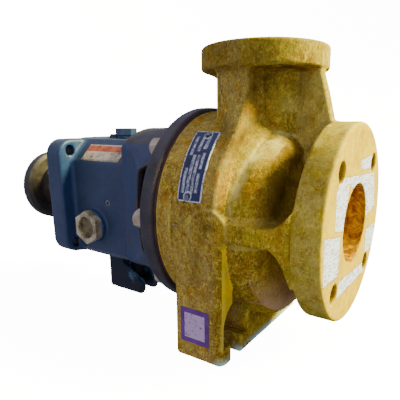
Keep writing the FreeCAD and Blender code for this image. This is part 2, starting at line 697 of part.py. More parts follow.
def casing_holes():
    """Flange holes, stud holes in the drum and the plugged holes in the bosses."""
    holes = []
    for y, z, _ in around(FLANGE_BOLTS, SUCTION_BOLT_CIRCLE, 45):
        holes.append(rod("x", SUCTION_HOLE_RADIUS, SUCTION_BACK_X - 1, SUCTION_REACH + 1, (y, z)))
    for x, z, _ in around(FLANGE_BOLTS, DISCHARGE_BOLT_CIRCLE, 45):
        place = (x, z - SHAFT_HEIGHT)
        holes.append(rod("z", DISCHARGE_HOLE_RADIUS, NECK_TOP - 1, DISCHARGE_TOP + 1, place))
    for y, z, _ in around(CASING_STUDS, CASING_STUD_CIRCLE):
        end = DRUM_BACK_X + CASING_STUD_BITE + 1
        holes.append(rod("x", CASING_STUD_RADIUS + SNUG, DRUM_BACK_X - 1, end, (y, z)))
    face_y = -FOOT_HALF_WIDTH - SIDE_BOSS_PROUD
    plug_end = face_y + BOSS_DIMPLE_DEPTH + BOSS_PLUG_LENGTH
    plug_hole = rod("y", BOSS_PLUG_RADIUS + SNUG, face_y - 1, plug_end, (0.0, SHAFT_HEIGHT))
    return holes + both_sides(plug_hole)


def casing():
    """The whole moulded casing."""
    drum = without_panel_space(rod("x", DRUM_RADIUS, DRUM_BACK_X, NECK_BACK_X + 1))
    base_half = FOOT_HALF_WIDTH - FOOT_CORNER_ROUND - 1
    base = block((FOOT_BACK_X, FOOT_FRONT_X), (-base_half, base_half), (0, FOOT_BASE_EDGE))
    saddle = block((FOOT_BACK_X, FOOT_FRONT_X - 2), (-FOOT_INNER_Y - 5, FOOT_INNER_Y + 5),
                   (FOOT_BASE_EDGE - 1, SHAFT_HEIGHT - DRUM_RADIUS + 14))
    solids = [drum, without_panel_space(drum_and_neck()), front_face(), base, saddle]
    solids += volute_bulge() + volute_outlet() + pipe_flanges() + neck_webs()
    for side in (casing_foot(), side_boss(), side_rib()):
        solids += both_sides(side)
    spaces = flow_passages() + casing_holes() + both_sides(foot_pocket())
    return fused(solids).cut(spaces).removeSplitter()


def boss_plugs():
    """Resin plugs set a little below the faces of the side bosses."""
    start = -FOOT_HALF_WIDTH - SIDE_BOSS_PROUD + BOSS_DIMPLE_DEPTH
    plug = rod("y", BOSS_PLUG_RADIUS, start, start + BOSS_PLUG_LENGTH - SNUG, (0.0, SHAFT_HEIGHT))
    return both_sides(plug)


def casing_gasket():
    """Flat ring between the drum and the adapter."""
    ring = tube("x", GASKET_RADIUS, COVER_SPIGOT_RADIUS + BODY_GAP, RING_FRONT_X, DRUM_BACK_X)
    return ring.cut([rod("x", CASING_STUD_RADIUS + BOLT_CLEARANCE, RING_FRONT_X, DRUM_BACK_X, (y, z))
                     for y, z, _ in around(CASING_STUDS, CASING_STUD_CIRCLE)])


def rear_cover():
    """Dished cover behind the impeller with the seal chamber in its middle."""
    skirt_inner = COVER_SPIGOT_RADIUS - COVER_SKIRT
    wall_back = COVER_FACE_X - COVER_WALL
    body = turned([
        (COVER_FACE_X, THROAT_RADIUS),
        (COVER_FACE_X, COVER_SPIGOT_RADIUS),
        (RING_FRONT_X, COVER_SPIGOT_RADIUS),
        (RING_FRONT_X, COVER_FLANGE_RADIUS),
        (COVER_BACK_X, COVER_FLANGE_RADIUS),
        (COVER_BACK_X, skirt_inner),
        (wall_back, skirt_inner),
        (wall_back, SEAL_CHAMBER_OUTER),
        (CHAMBER_MOUTH_X, SEAL_CHAMBER_OUTER),
        (CHAMBER_MOUTH_X, SEAL_CHAMBER_RADIUS),
        (THROAT_BACK_X, SEAL_CHAMBER_RADIUS),
        (THROAT_BACK_X, THROAT_RADIUS),
    ])
    holes = []
    for y, z, _ in around(GLAND_STUDS, GLAND_STUD_CIRCLE, 45):
        end = CHAMBER_MOUTH_X + GLAND_STUD_BITE + 1
        holes.append(rod("x", GLAND_STUD_RADIUS + SNUG, CHAMBER_MOUTH_X - 1, end, (y, z)))
    return body.cut(holes)


def gland_plate():
    """Plate that closes the seal chamber and holds the still half of the seal."""
    plate = tube("x", SEAL_CHAMBER_OUTER - 1, GLAND_BORE_RADIUS, GLAND_BACK_X, CHAMBER_MOUTH_X)
    seat_bore = SEAT_OUTER_RADIUS + 2 * SEAT_RING_SECTION + 2 * SNUG
    holes = [rod("x", seat_bore, SEAT_BACK_X - SNUG, CHAMBER_MOUTH_X)]
    for y, z, _ in around(GLAND_STUDS, GLAND_STUD_CIRCLE, 45):
        holes.append(rod("x", GLAND_STUD_RADIUS + BOLT_CLEARANCE, GLAND_BACK_X, CHAMBER_MOUTH_X, (y, z)))
    return plate.cut(holes)


def gland_studs():
    """Studs that carry the gland plate."""
    start = GLAND_BACK_X - WASHER_THICK - GLAND_NUT_THICK - STUD_TAIL / 2
    end = CHAMBER_MOUTH_X + GLAND_STUD_BITE
    return [rod("x", GLAND_STUD_RADIUS, start, end, (y, z))
            for y, z, _ in around(GLAND_STUDS, GLAND_STUD_CIRCLE, 45)]


def gland_nuts():
    """Nuts with their washers on the gland studs."""
    washer_back = GLAND_BACK_X - WASHER_THICK
    nuts = []
    for y, z, degrees in around(GLAND_STUDS, GLAND_STUD_CIRCLE, 45):
        nut = hexagon("x", GLAND_NUT_FLATS, washer_back - GLAND_NUT_THICK, washer_back, (y, z), degrees)
        washer = rod("x", GLAND_NUT_FLATS / 2 + 1, washer_back, GLAND_BACK_X, (y, z))
        hole = rod("x", GLAND_STUD_RADIUS + SNUG, washer_back - GLAND_NUT_THICK, GLAND_BACK_X, (y, z))
        nuts.append(fused([nut, washer]).cut(hole))
    return nuts


def seal_stationary_seat():
    """Hard ring that stands still in the gland plate."""
    return tube("x", SEAT_OUTER_RADIUS, GLAND_BORE_RADIUS, SEAT_BACK_X, SEAT_FRONT_X)


def seal_seat_ring():
    """Round rubber ring around the stationary seat."""
    ring_radius = SEAT_OUTER_RADIUS + SEAT_RING_SECTION + SNUG
    middle = (SEAT_BACK_X + CHAMBER_MOUTH_X) / 2
    return shaft_torus(ring_radius, SEAT_RING_SECTION, middle)


def seal_face_ring():
    """Turning face ring of the mechanical seal."""
    bore = IMPELLER_HUB_RADIUS + SNUG
    nose = FACE_RING_BACK_X + FACE_RING_LENGTH / 4
    return turned([
        (FACE_RING_BACK_X, bore + 2),
        (FACE_RING_BACK_X, FACE_RING_RADIUS - 1),
        (nose, FACE_RING_RADIUS),
        (FACE_RING_FRONT_X, FACE_RING_RADIUS),
        (FACE_RING_FRONT_X, bore),
        (nose, bore),
    ])


def seal_bellows():
    """Folded sleeve that presses the face ring against the seat."""
    bore = IMPELLER_HUB_RADIUS + SNUG
    crest = bore + 2 + BELLOWS_DEPTH
    pitch = BELLOWS_LENGTH / BELLOWS_FOLDS
    outline = [(FACE_RING_FRONT_X, bore), (FACE_RING_FRONT_X, crest)]
    for fold in range(BELLOWS_FOLDS):
        start = FACE_RING_FRONT_X + fold * pitch
        outline.append((start + pitch / 2, crest - BELLOWS_DEPTH))
        outline.append((start + pitch, crest))
    outline.append((BELLOWS_FRONT_X, bore))
    return turned(outline)


def seal_retainer():
    """Collar that grips the sleeve and drives the seal."""
    collar = tube("x", RETAINER_RADIUS, IMPELLER_HUB_RADIUS + SNUG, BELLOWS_FRONT_X,
                  BELLOWS_FRONT_X + RETAINER_LENGTH)
    middle = BELLOWS_FRONT_X + RETAINER_LENGTH / 2
    screw_hole = rod("z", RETAINER_SCREW_RADIUS, SHAFT_HEIGHT, SHAFT_HEIGHT + RETAINER_RADIUS + 1,
                     (middle, 0.0))
    return collar.cut(screw_hole)


def casing_studs():
    """Studs that clamp the adapter ring to the drum."""
    start = RING_BACK_X - WASHER_THICK - CASING_NUT_THICK - STUD_TAIL
    end = DRUM_BACK_X + CASING_STUD_BITE
    return [rod("x", CASING_STUD_RADIUS, start, end, (y, z))
            for y, z, _ in around(CASING_STUDS, CASING_STUD_CIRCLE)]


def casing_nuts():
    """Hex nuts on the casing studs, with a softened outer face."""
    front = RING_BACK_X - WASHER_THICK
    back = front - CASING_NUT_THICK
    corner = CASING_NUT_FLATS / math.sqrt(3)
    nuts = []
    for y, z, degrees in around(CASING_STUDS, CASING_STUD_CIRCLE):
        nut = hexagon("x", CASING_NUT_FLATS, back, front, (y, z), degrees)
        cone = Part.makeCone(CASING_NUT_FLATS / 2, corner + CASING_NUT_THICK, CASING_NUT_THICK + 2,
                             Vec(back, y, z), DIRECTIONS["x"])
        hole = rod("x", CASING_STUD_RADIUS + SNUG, back, front, (y, z))
        nuts.append(nut.common(cone).cut(hole))
    return nuts


def casing_washers():
    """Flat washers under the casing nuts."""
    back = RING_BACK_X - WASHER_THICK
    return [tube("x", CASING_WASHER_RADIUS, CASING_STUD_RADIUS + SNUG, back, RING_BACK_X, (y, z))
            for y, z, _ in around(CASING_STUDS, CASING_STUD_CIRCLE)]


def impeller():
    """Semi-open impeller: shroud, hub, swept vanes and short ribs on its back."""
    tip_front = IMPELLER_FRONT_X + VANE_TIP_WIDTH
    eye_front = IMPELLER_FRONT_X + VANE_EYE_WIDTH
    shroud = rod("x", IMPELLER_RADIUS, IMPELLER_BACK_X, IMPELLER_FRONT_X)
    hub = turned([
        (HUB_BACK_X, 0),
        (HUB_BACK_X, IMPELLER_HUB_RADIUS),
        (IMPELLER_FRONT_X + 6, IMPELLER_HUB_RADIUS),
        (IMPELLER_FRONT_X + IMPELLER_NOSE_LENGTH - 6, IMPELLER_HUB_RADIUS - 4),
        (IMPELLER_FRONT_X + IMPELLER_NOSE_LENGTH, IMPELLER_HUB_RADIUS - 10),
        (IMPELLER_FRONT_X + IMPELLER_NOSE_LENGTH, 0),
    ])
    swept_space = turned([
        (IMPELLER_FRONT_X - 1, 0),
        (IMPELLER_FRONT_X - 1, IMPELLER_RADIUS),
        (tip_front, IMPELLER_RADIUS),
        (eye_front, EYE_RADIUS - 0.5),
        (eye_front - 9, 0),
    ])
    curve_centre = (VANE_CURVE_SHIFT, SHAFT_HEIGHT)
    curve = tube("x", VANE_CURVE_RADIUS, VANE_CURVE_RADIUS - VANE_THICK,
                 IMPELLER_FRONT_X - 1, eye_front, curve_centre)
    upper_half = block((IMPELLER_FRONT_X - 1, eye_front), (0, 2 * IMPELLER_RADIUS),
                       (SHAFT_HEIGHT, SHAFT_HEIGHT + IMPELLER_RADIUS))
    vane = curve.common(upper_half).common(swept_space)
    rib_start = IMPELLER_BACK_X - PUMP_OUT_VANE_DEPTH
    rib = block((rib_start, IMPELLER_BACK_X + 1), (IMPELLER_HUB_RADIUS - 2, IMPELLER_RADIUS - 1),
                (SHAFT_HEIGHT - PUMP_OUT_VANE_THICK / 2, SHAFT_HEIGHT + PUMP_OUT_VANE_THICK / 2))
    solids = [shroud, hub]
    for step in range(VANES):
        for blade in (vane, rib):
            copy = blade.copy()
            copy.rotate(Vec(0, 0, SHAFT_HEIGHT), DIRECTIONS["x"], 360.0 * step / VANES)
            solids.append(copy)
    thread = rod("x", IMPELLER_SPIGOT_RADIUS + SNUG, HUB_BACK_X - 1, IMPELLER_FRONT_X + 12)
    return fused(solids).cut(thread)


def impeller_ring():
    """Round rubber ring that seals the impeller hub against the sleeve."""
    back = HUB_BACK_X - IMPELLER_RING_WIDTH
    return tube("x", SLEEVE_SEAT_RADIUS - SNUG, IMPELLER_SPIGOT_RADIUS + SNUG, back, HUB_BACK_X)


def shaft_outline():
    """(x, radius) steps of the shaft from the impeller end to the coupling end."""
    return [
        (IMPELLER_FRONT_X + 11, IMPELLER_SPIGOT_RADIUS),
        (HUB_BACK_X - IMPELLER_RING_WIDTH, SLEEVE_SEAT_RADIUS),
        (SLEEVE_BACK_X, SEAL_RUN_RADIUS),
        (INBOARD_FRONT_X + 1, INBOARD_BORE_RADIUS - SNUG),
        (INBOARD_BACK_X, MID_SHAFT_RADIUS),
        (THRUST_FRONT_X, THRUST_BORE_RADIUS - SNUG),
        (THRUST_BACK_X, LOCK_THREAD_RADIUS),
        (END_WALL_X + 1, OUTBOARD_RUN_RADIUS),
        (SHAFT_END_X + COUPLING_SEAT_LENGTH, SHAFT_END_RADIUS),
    ]


def shaft():
    """Stepped shaft with a keyway at the coupling end."""
    steps = shaft_outline()
    ends = [x for x, _ in steps[1:]] + [SHAFT_END_X]
    outline = [(steps[0][0], 0)]
    for (start, radius), end in zip(steps, ends):
        outline += [(start, radius), (end, radius)]
    outline.append((SHAFT_END_X, 0))
    return turned(outline).cut(key_block(0.0))


def key_block(extra):
    """Space of the coupling key, wider and taller by an extra."""
    half = KEY_WIDTH / 2 + extra
    low = SHAFT_HEIGHT + SHAFT_END_RADIUS - KEY_HEIGHT / 2
    return block((SHAFT_END_X, SHAFT_END_X + KEY_LENGTH), (-half, half), (low, low + KEY_HEIGHT + extra))


def coupling_key():
    """Square key, a little shorter and narrower than its keyway."""
    half = KEY_WIDTH / 2 - SNUG
    low = SHAFT_HEIGHT + SHAFT_END_RADIUS - KEY_HEIGHT / 2
    x_range = (SHAFT_END_X + SNUG, SHAFT_END_X + KEY_LENGTH - SNUG)
    return block(x_range, (-half, half), (low + SNUG, low + KEY_HEIGHT))


def shaft_sleeve():
    """Wearing sleeve between the impeller hub and the bearing frame."""
    return tube("x", IMPELLER_HUB_RADIUS, SLEEVE_SEAT_RADIUS + SNUG, SLEEVE_BACK_X, HUB_BACK_X)


def adapter_plan(inset):
    """Waisted plan of the adapter, narrowed all round by an inset."""
    waist = ADAPTER_WAIST_HALF - inset
    full = HOOD_RADIUS - inset
    spread = full - waist
    length = RING_BACK_X - ADAPTER_BACK_X
    half_outline = [
        (ADAPTER_BACK_X, waist),
        (ADAPTER_BACK_X + 0.1 * length, waist),
        (ADAPTER_BACK_X + 0.4 * length, waist + 0.3 * spread),
        (ADAPTER_BACK_X + 0.65 * length, waist + 0.72 * spread),
        (ADAPTER_BACK_X + 0.85 * length, full),
        (RING_FRONT_X, full),
    ]
    corners = [Vec(x, y, 0) for x, y in half_outline]
    corners += [Vec(x, -y, 0) for x, y in reversed(half_outline)]
    return prism(corners, Vec(0, 0, 2 * SHAFT_HEIGHT))


def frame_adapter():
    """Ring, waisted hood with a window on each side, and rear wall."""
    outer = rod("x", HOOD_RADIUS, ADAPTER_BACK_X, RING_BACK_X + 1).common(adapter_plan(0.0))
    hollow_back = ADAPTER_BACK_X + ADAPTER_REAR_WALL
    inner = rod("x", HOOD_RADIUS - ADAPTER_WALL, hollow_back, RING_BACK_X).common(adapter_plan(ADAPTER_WALL))
    ring = rounded(rod("x", RING_RADIUS, RING_BACK_X, RING_FRONT_X), RING_EDGE_ROUND,
                   lambda edge: isinstance(edge.Curve, Part.Circle))
    window_back = RING_BACK_X - WINDOW_LENGTH
    window = block((window_back, RING_BACK_X), (-RING_RADIUS, RING_RADIUS),
                   (SHAFT_HEIGHT - WINDOW_HALF_HEIGHT, SHAFT_HEIGHT + WINDOW_HALF_HEIGHT))
    spaces = [
        inner,
        window,
        rod("x", RING_BORE_RADIUS, RING_BACK_X - 1, RING_FRONT_X),
        rod("x", COVER_FLANGE_RADIUS + SNUG, COVER_BACK_X - SNUG, RING_FRONT_X + 1),
        rod("x", FRAME_SPIGOT_RADIUS + SNUG, ADAPTER_BACK_X - 1, hollow_back + 1),
    ]
    for y, z, _ in around(CASING_STUDS, CASING_STUD_CIRCLE):
        hole_radius = CASING_STUD_RADIUS + BOLT_CLEARANCE
        spaces.append(rod("x", hole_radius, RING_BACK_X - 1, RING_FRONT_X + 1, (y, z)))
    for place in adapter_bolt_places():
        hole_radius = ADAPTER_BOLT_RADIUS + BOLT_CLEARANCE
        spaces.append(rod("x", hole_radius, ADAPTER_BACK_X - 1, hollow_back + 1, place))
    return fused([outer, ring]).cut(spaces)


def adapter_bolt_places():
    """Centres (y, z) of the bolts between adapter and bearing frame."""
    return [(side * ADAPTER_BOLT_Y, SHAFT_HEIGHT + level * ADAPTER_BOLT_Z)
            for side in (-1, 1) for level in (-1, 1)]


def adapter_bolts():
    """Hex bolts from inside the adapter into the bearing frame."""
    head_back = ADAPTER_BACK_X + ADAPTER_REAR_WALL
    bolts = []
    for place in adapter_bolt_places():
        shank = rod("x", ADAPTER_BOLT_RADIUS, ADAPTER_BACK_X - ADAPTER_BOLT_BITE, head_back + 1, place)
        head = hexagon("x", ADAPTER_BOLT_FLATS, head_back, head_back + ADAPTER_BOLT_HEAD, place)
        bolts.append(fused([shank, head]))
    return bolts


def frame_section(inset, floor_inset):
    """Eight-sided section of the bearing frame as (y, z) corners."""
    half = FRAME_HALF_WIDTH - inset
    top = FRAME_TOP - inset
    bottom = FRAME_BOTTOM + floor_inset
    cut = FRAME_CHAMFER - inset * (2 - math.sqrt(2))
    low_cut = FRAME_LOWER_CHAMFER
    half_section = [(half - low_cut, bottom), (half, bottom + low_cut), (half, top - cut), (half - cut, top)]
    return half_section + [(-y, z) for y, z in reversed(half_section)]


def frame_prism(inset, floor_inset, start, end):
    """Length of the bearing frame's section between two places."""
    corners = [Vec(start, y, z) for y, z in frame_section(inset, floor_inset)]
    return prism(corners, Vec(end - start, 0, 0))


def end_plate():
    """Square plate with rounded corners at the back of the bearing frame."""
    plate = block((PLATE_BACK_X, PLATE_FRONT_X), (-PLATE_HALF, PLATE_HALF), (FRAME_BOTTOM, FRAME_TOP))

    def at_corner(edge):
        return abs(edge.tangentAt(edge.FirstParameter).x) > 0.99

    return rounded(plate, PLATE_CORNER_ROUND, at_corner)


def bearing_frame():
    """Cast housing: chamfered oil chamber, bearing bores, end plate and bosses."""
    body = frame_prism(0.0, 0.0, PLATE_FRONT_X - 1, ADAPTER_BACK_X)
    spigot = rod("x", FRAME_SPIGOT_RADIUS, ADAPTER_BACK_X - 1, ADAPTER_BACK_X + FRAME_SPIGOT_LENGTH)
    sight_boss = rod("y", SIGHT_BOSS_RADIUS, -FRAME_HALF_WIDTH - SIGHT_BOSS_HEIGHT, -FRAME_HALF_WIDTH + 1,
                     (SIGHT_X, SIGHT_Z))
    lug_end = OIL_HOLE_X - FILL_HEAD_FLATS / 2 - 2
    lug = block((lug_end - TOP_LUG_LENGTH, lug_end), (-TOP_LUG_HALF_WIDTH, TOP_LUG_HALF_WIDTH),
                (FRAME_TOP - 1, FRAME_TOP + TOP_LUG_HEIGHT))
    cavity_front = ADAPTER_BACK_X - FRAME_FRONT_WALL
    cavity_back = PLATE_FRONT_X + FRAME_REAR_WALL
    cavity_bottom = FRAME_BOTTOM + FRAME_FLOOR_WALL
    spaces = [
        frame_prism(FRAME_WALL, FRAME_FLOOR_WALL, cavity_back, cavity_front),
        rod("x", FRAME_BORE_RADIUS, PLATE_BACK_X - 1, cavity_back + 1),
        rod("x", INBOARD_OUTER_RADIUS + SLIDING_FIT, cavity_front - 1, OIL_WALL_X),
        rod("x", INBOARD_SEAL_RADIUS + SNUG, OIL_WALL_X - 1, ADAPTER_BACK_X + FRAME_SPIGOT_LENGTH + 1),
        rod("z", FILL_PLUG_RADIUS + SNUG, FRAME_TOP - FRAME_WALL - 1, FRAME_TOP + 1, (OIL_HOLE_X, 0.0)),
        rod("z", DRAIN_PLUG_RADIUS + SNUG, FRAME_BOTTOM - 1, cavity_bottom + 1, (OIL_HOLE_X, DRAIN_PLUG_Y)),
        rod("y", SIGHT_NECK_RADIUS + SNUG, -FRAME_HALF_WIDTH - SIGHT_BOSS_HEIGHT - 1,
            -FRAME_HALF_WIDTH + FRAME_WALL + 1, (SIGHT_X, SIGHT_Z)),
    ]
    for side in (-1, 1):
        for level in (-1, 1):
            place = (side * PLATE_HOLE_Y, SHAFT_HEIGHT + level * PLATE_HOLE_Z)
            spaces.append(rod("x", PLATE_HOLE_RADIUS, PLATE_BACK_X - 1, PLATE_FRONT_X + 1, place))
        bolt_place = (frame_foot_bolt_x(), side * FRAME_FOOT_BOLT_Y)
        spaces.append(rod("z", FRAME_FOOT_BOLT_RADIUS + SNUG, FRAME_BOTTOM - 1,
                          FRAME_BOTTOM + FRAME_FOOT_BOLT_BITE + 1, bolt_place))
    for place in adapter_bolt_places():
        end = ADAPTER_BACK_X - ADAPTER_BOLT_BITE - 1
        spaces.append(rod("x", ADAPTER_BOLT_RADIUS + SNUG, end, ADAPTER_BACK_X + 1, place))
    for y, z, _ in around(CARTRIDGE_BOLTS, CARTRIDGE_BOLT_CIRCLE, 90):
        end = PLATE_BACK_X + CARTRIDGE_BOLT_BITE + 2
        spaces.append(rod("x", CARTRIDGE_BOLT_RADIUS + BOLT_CLEARANCE, PLATE_BACK_X - 1, end, (y, z)))
    for x, z in PIPE_PLUG_PLACES:
        hole = rod("y", PIPE_PLUG_RADIUS + SNUG, -FRAME_HALF_WIDTH - 1,
                   -FRAME_HALF_WIDTH + PIPE_PLUG_RECESS + PIPE_PLUG_LENGTH, (x, z))
        spaces += both_sides(hole)
    return fused([body, end_plate(), spigot, sight_boss, lug]).cut(spaces)


def frame_pipe_plugs():
    """Small plugs set just below the faces of the bearing frame's sides."""
    start = -FRAME_HALF_WIDTH + PIPE_PLUG_RECESS
    plugs = []
    for x, z in PIPE_PLUG_PLACES:
        plug = rod("y", PIPE_PLUG_RADIUS, start, start + PIPE_PLUG_LENGTH, (x, z))
        socket = hexagon("y", PIPE_PLUG_RADIUS, start - 1, start + PIPE_PLUG_LENGTH / 2, (x, z))
        plugs += both_sides(plug.cut(socket))
    return plugs


def oil_fill_plug():
    """Hex plug with a round collar on top of the bearing frame."""
    place = (OIL_HOLE_X, 0.0)
    collar_top = FRAME_TOP + FILL_COLLAR_HEIGHT
    shank = rod("z", FILL_PLUG_RADIUS, FRAME_TOP - FRAME_WALL, collar_top + 1, place)
    collar = rod("z", FILL_PLUG_RADIUS + 2, FRAME_TOP, collar_top, place)
    head = hexagon("z", FILL_HEAD_FLATS, collar_top, collar_top + FILL_HEAD_HEIGHT, place, FILL_HEAD_TURN)
    return fused([shank, collar, head])


def oil_drain_plug():
    """Hex plug under the bearing frame."""
    place = (OIL_HOLE_X, DRAIN_PLUG_Y)
    shank = rod("z", DRAIN_PLUG_RADIUS, FRAME_BOTTOM - 1, FRAME_BOTTOM + FRAME_FLOOR_WALL, place)
    head = hexagon("z", DRAIN_HEAD_FLATS, FRAME_BOTTOM - DRAIN_HEAD_HEIGHT, FRAME_BOTTOM, place)
    return fused([shank, head])


def sight_glass_bezel():
    """Hex ring with a threaded neck that holds the glass."""
    place = (SIGHT_X, SIGHT_Z)
    seat = -FRAME_HALF_WIDTH - SIGHT_BOSS_HEIGHT
    face = seat - SIGHT_BEZEL_HEIGHT
    head = hexagon("y", SIGHT_BEZEL_FLATS, face, seat, place)
    neck = rod("y", SIGHT_NECK_RADIUS, seat - 1, -FRAME_HALF_WIDTH + FRAME_WALL, place)
    glass_back = face + SIGHT_GLASS_DEPTH + SIGHT_GLASS_THICK + REFLECTOR_THICK
    view = rod("y", SIGHT_VIEW_RADIUS, face - 1, -FRAME_HALF_WIDTH + FRAME_WALL + 1, place)
    seat_bore = rod("y", SIGHT_GLASS_RADIUS + SNUG, face - 1, glass_back, place)
    return fused([head, neck]).cut([view, seat_bore])


def sight_glass_window():
    """Glass disc set back inside the bezel."""
    front = -FRAME_HALF_WIDTH - SIGHT_BOSS_HEIGHT - SIGHT_BEZEL_HEIGHT + SIGHT_GLASS_DEPTH
    return rod("y", SIGHT_GLASS_RADIUS, front, front + SIGHT_GLASS_THICK, (SIGHT_X, SIGHT_Z))


def sight_glass_reflector():
    """Pierced disc behind the glass."""
    face = -FRAME_HALF_WIDTH - SIGHT_BOSS_HEIGHT - SIGHT_BEZEL_HEIGHT
    front = face + SIGHT_GLASS_DEPTH + SIGHT_GLASS_THICK
    disc = rod("y", SIGHT_GLASS_RADIUS, front, front + REFLECTOR_THICK, (SIGHT_X, SIGHT_Z))
    return disc.cut(rod("y", SIGHT_VIEW_RADIUS / 4, front - 1, front + 2, (SIGHT_X, SIGHT_Z)))


def frame_foot_bolt_x():
    """Place of the two upright bolts through the frame foot's leg."""
    return LEG_BACK_X + LEG_THICK / 2


def frame_foot():
    """Cast foot under the bearing frame with a toe slot that opens forwards."""
    leg_front = LEG_BACK_X + LEG_THICK
    outline = [
        (LEG_BACK_X, 0),
        (FOOT_TOE_X, 0),
        (FOOT_TOE_X + TOE_NOSE, TOE_THICK / 2),
        (FOOT_TOE_X + TOE_NOSE, TOE_THICK),
        (FOOT_TOE_X - 10, 2 * TOE_THICK + 2),
        (leg_front + 8, 3 * TOE_THICK - 2),
        (leg_front, FRAME_BOTTOM),
        (LEG_BACK_X, FRAME_BOTTOM),
    ]
    corners = [Vec(x, -LEG_HALF_WIDTH, z) for x, z in outline]
    body = prism(corners, Vec(0, 2 * LEG_HALF_WIDTH, 0))
    slot_end = rod("z", FRAME_SLOT_HALF_WIDTH, -1, FRAME_BOTTOM, (-FRAME_FOOT_REACH, 0.0))
    slot = block((-FRAME_FOOT_REACH, FOOT_TOE_X + TOE_NOSE + 1),
                 (-FRAME_SLOT_HALF_WIDTH, FRAME_SLOT_HALF_WIDTH), (-1, FRAME_BOTTOM))
    washer_space = rod("z", FRAME_SLOT_HALF_WIDTH + FRAME_WASHER_ROOM, TOE_THICK, FRAME_BOTTOM,
                       (-FRAME_FOOT_REACH, 0.0))
    spaces = [slot_end, slot, washer_space]
    recess_top = FRAME_FOOT_HEAD_RECESS + FRAME_FOOT_HEAD_HEIGHT
    for side in (-1, 1):
        place = (frame_foot_bolt_x(), side * FRAME_FOOT_BOLT_Y)
        spaces.append(rod("z", FRAME_FOOT_BOLT_RADIUS + BOLT_CLEARANCE, -1, FRAME_BOTTOM + 1, place))
        spaces.append(rod("z", FRAME_FOOT_HEAD_RADIUS + BOLT_CLEARANCE, -1, recess_top, place))
    return body.cut(spaces)


def frame_foot_bolts():
    """Socket-head bolts from below, through the foot into the bearing frame."""
    head_top = FRAME_FOOT_HEAD_RECESS + FRAME_FOOT_HEAD_HEIGHT
    bolts = []
    for side in (-1, 1):
        place = (frame_foot_bolt_x(), side * FRAME_FOOT_BOLT_Y)
        shank = rod("z", FRAME_FOOT_BOLT_RADIUS, head_top - 1, FRAME_BOTTOM + FRAME_FOOT_BOLT_BITE, place)
        head = rod("z", FRAME_FOOT_HEAD_RADIUS, FRAME_FOOT_HEAD_RECESS, head_top, place)
        socket = hexagon("z", FRAME_FOOT_HEAD_RADIUS, FRAME_FOOT_HEAD_RECESS - 1, head_top - 4, place)
        bolts.append(fused([shank, head]).cut(socket))
    return bolts


def bearing_rings(bore, outer, start, end, ball_radius, rows):
    """Inner and outer race with a groove for each row of balls."""
    pitch = (bore + outer) / 2
    race_height = pitch - bore - ball_radius + RACE_GROOVE_DEPTH
    grooves = [shaft_torus(pitch, ball_radius + BALL_GAP, x) for x in rows]
    inner = tube("x", bore + race_height, bore, start, end).cut(grooves)
    outer_ring = tube("x", outer, outer - race_height, start, end).cut(grooves)
    return inner, outer_ring


def bearing_balls(bore, outer, ball_radius, count, rows):
    """Balls of every row."""
    pitch = (bore + outer) / 2
    return [Part.makeSphere(ball_radius, Vec(x, y, z))
            for x in rows for y, z, _ in around(count, pitch)]


def bearing_cages(bore, outer, ball_radius, count, rows):
    """One pierced ring for every row of balls."""
    pitch = (bore + outer) / 2
    cages = []
    for x in rows:
        half = min(ball_radius + CAGE_OVERHANG, abs(x - sum(rows) / len(rows)) or outer)
        ring = tube("x", pitch + CAGE_LAND, pitch - CAGE_LAND, x - half + BALL_GAP, x + half - BALL_GAP)
        pockets = [Part.makeSphere(ball_radius + BALL_GAP, Vec(x, y, z)) for y, z, _ in around(count, pitch)]
        cages.append(ring.cut(pockets))
    return cages


def inboard_bearing():
    """Pieces of the single-row bearing at the pump end."""
    rows = [(INBOARD_FRONT_X + INBOARD_BACK_X) / 2]
    sizes = (INBOARD_BORE_RADIUS, INBOARD_OUTER_RADIUS)
    inner, outer = bearing_rings(*sizes, INBOARD_BACK_X, INBOARD_FRONT_X, INBOARD_BALL_RADIUS, rows)
    return {
        "inboard_inner_race": [inner],
        "inboard_outer_race": [outer],
        "inboard_balls": bearing_balls(*sizes, INBOARD_BALL_RADIUS, INBOARD_BALLS, rows),
        "inboard_cage": bearing_cages(*sizes, INBOARD_BALL_RADIUS, INBOARD_BALLS, rows),
    }


def thrust_bearing():
    """Pieces of the two-row bearing in the cartridge."""
    middle = (THRUST_FRONT_X + THRUST_BACK_X) / 2
    rows = [middle - THRUST_ROW_OFFSET, middle + THRUST_ROW_OFFSET]
    sizes = (THRUST_BORE_RADIUS, THRUST_OUTER_RADIUS)
    inner, outer = bearing_rings(*sizes, THRUST_BACK_X, THRUST_FRONT_X, THRUST_BALL_RADIUS, rows)
    return {
        "thrust_inner_race": [inner],
        "thrust_outer_race": [outer],
        "thrust_balls": bearing_balls(*sizes, THRUST_BALL_RADIUS, THRUST_BALLS, rows),
        "thrust_cages": bearing_cages(*sizes, THRUST_BALL_RADIUS, THRUST_BALLS, rows),
    }


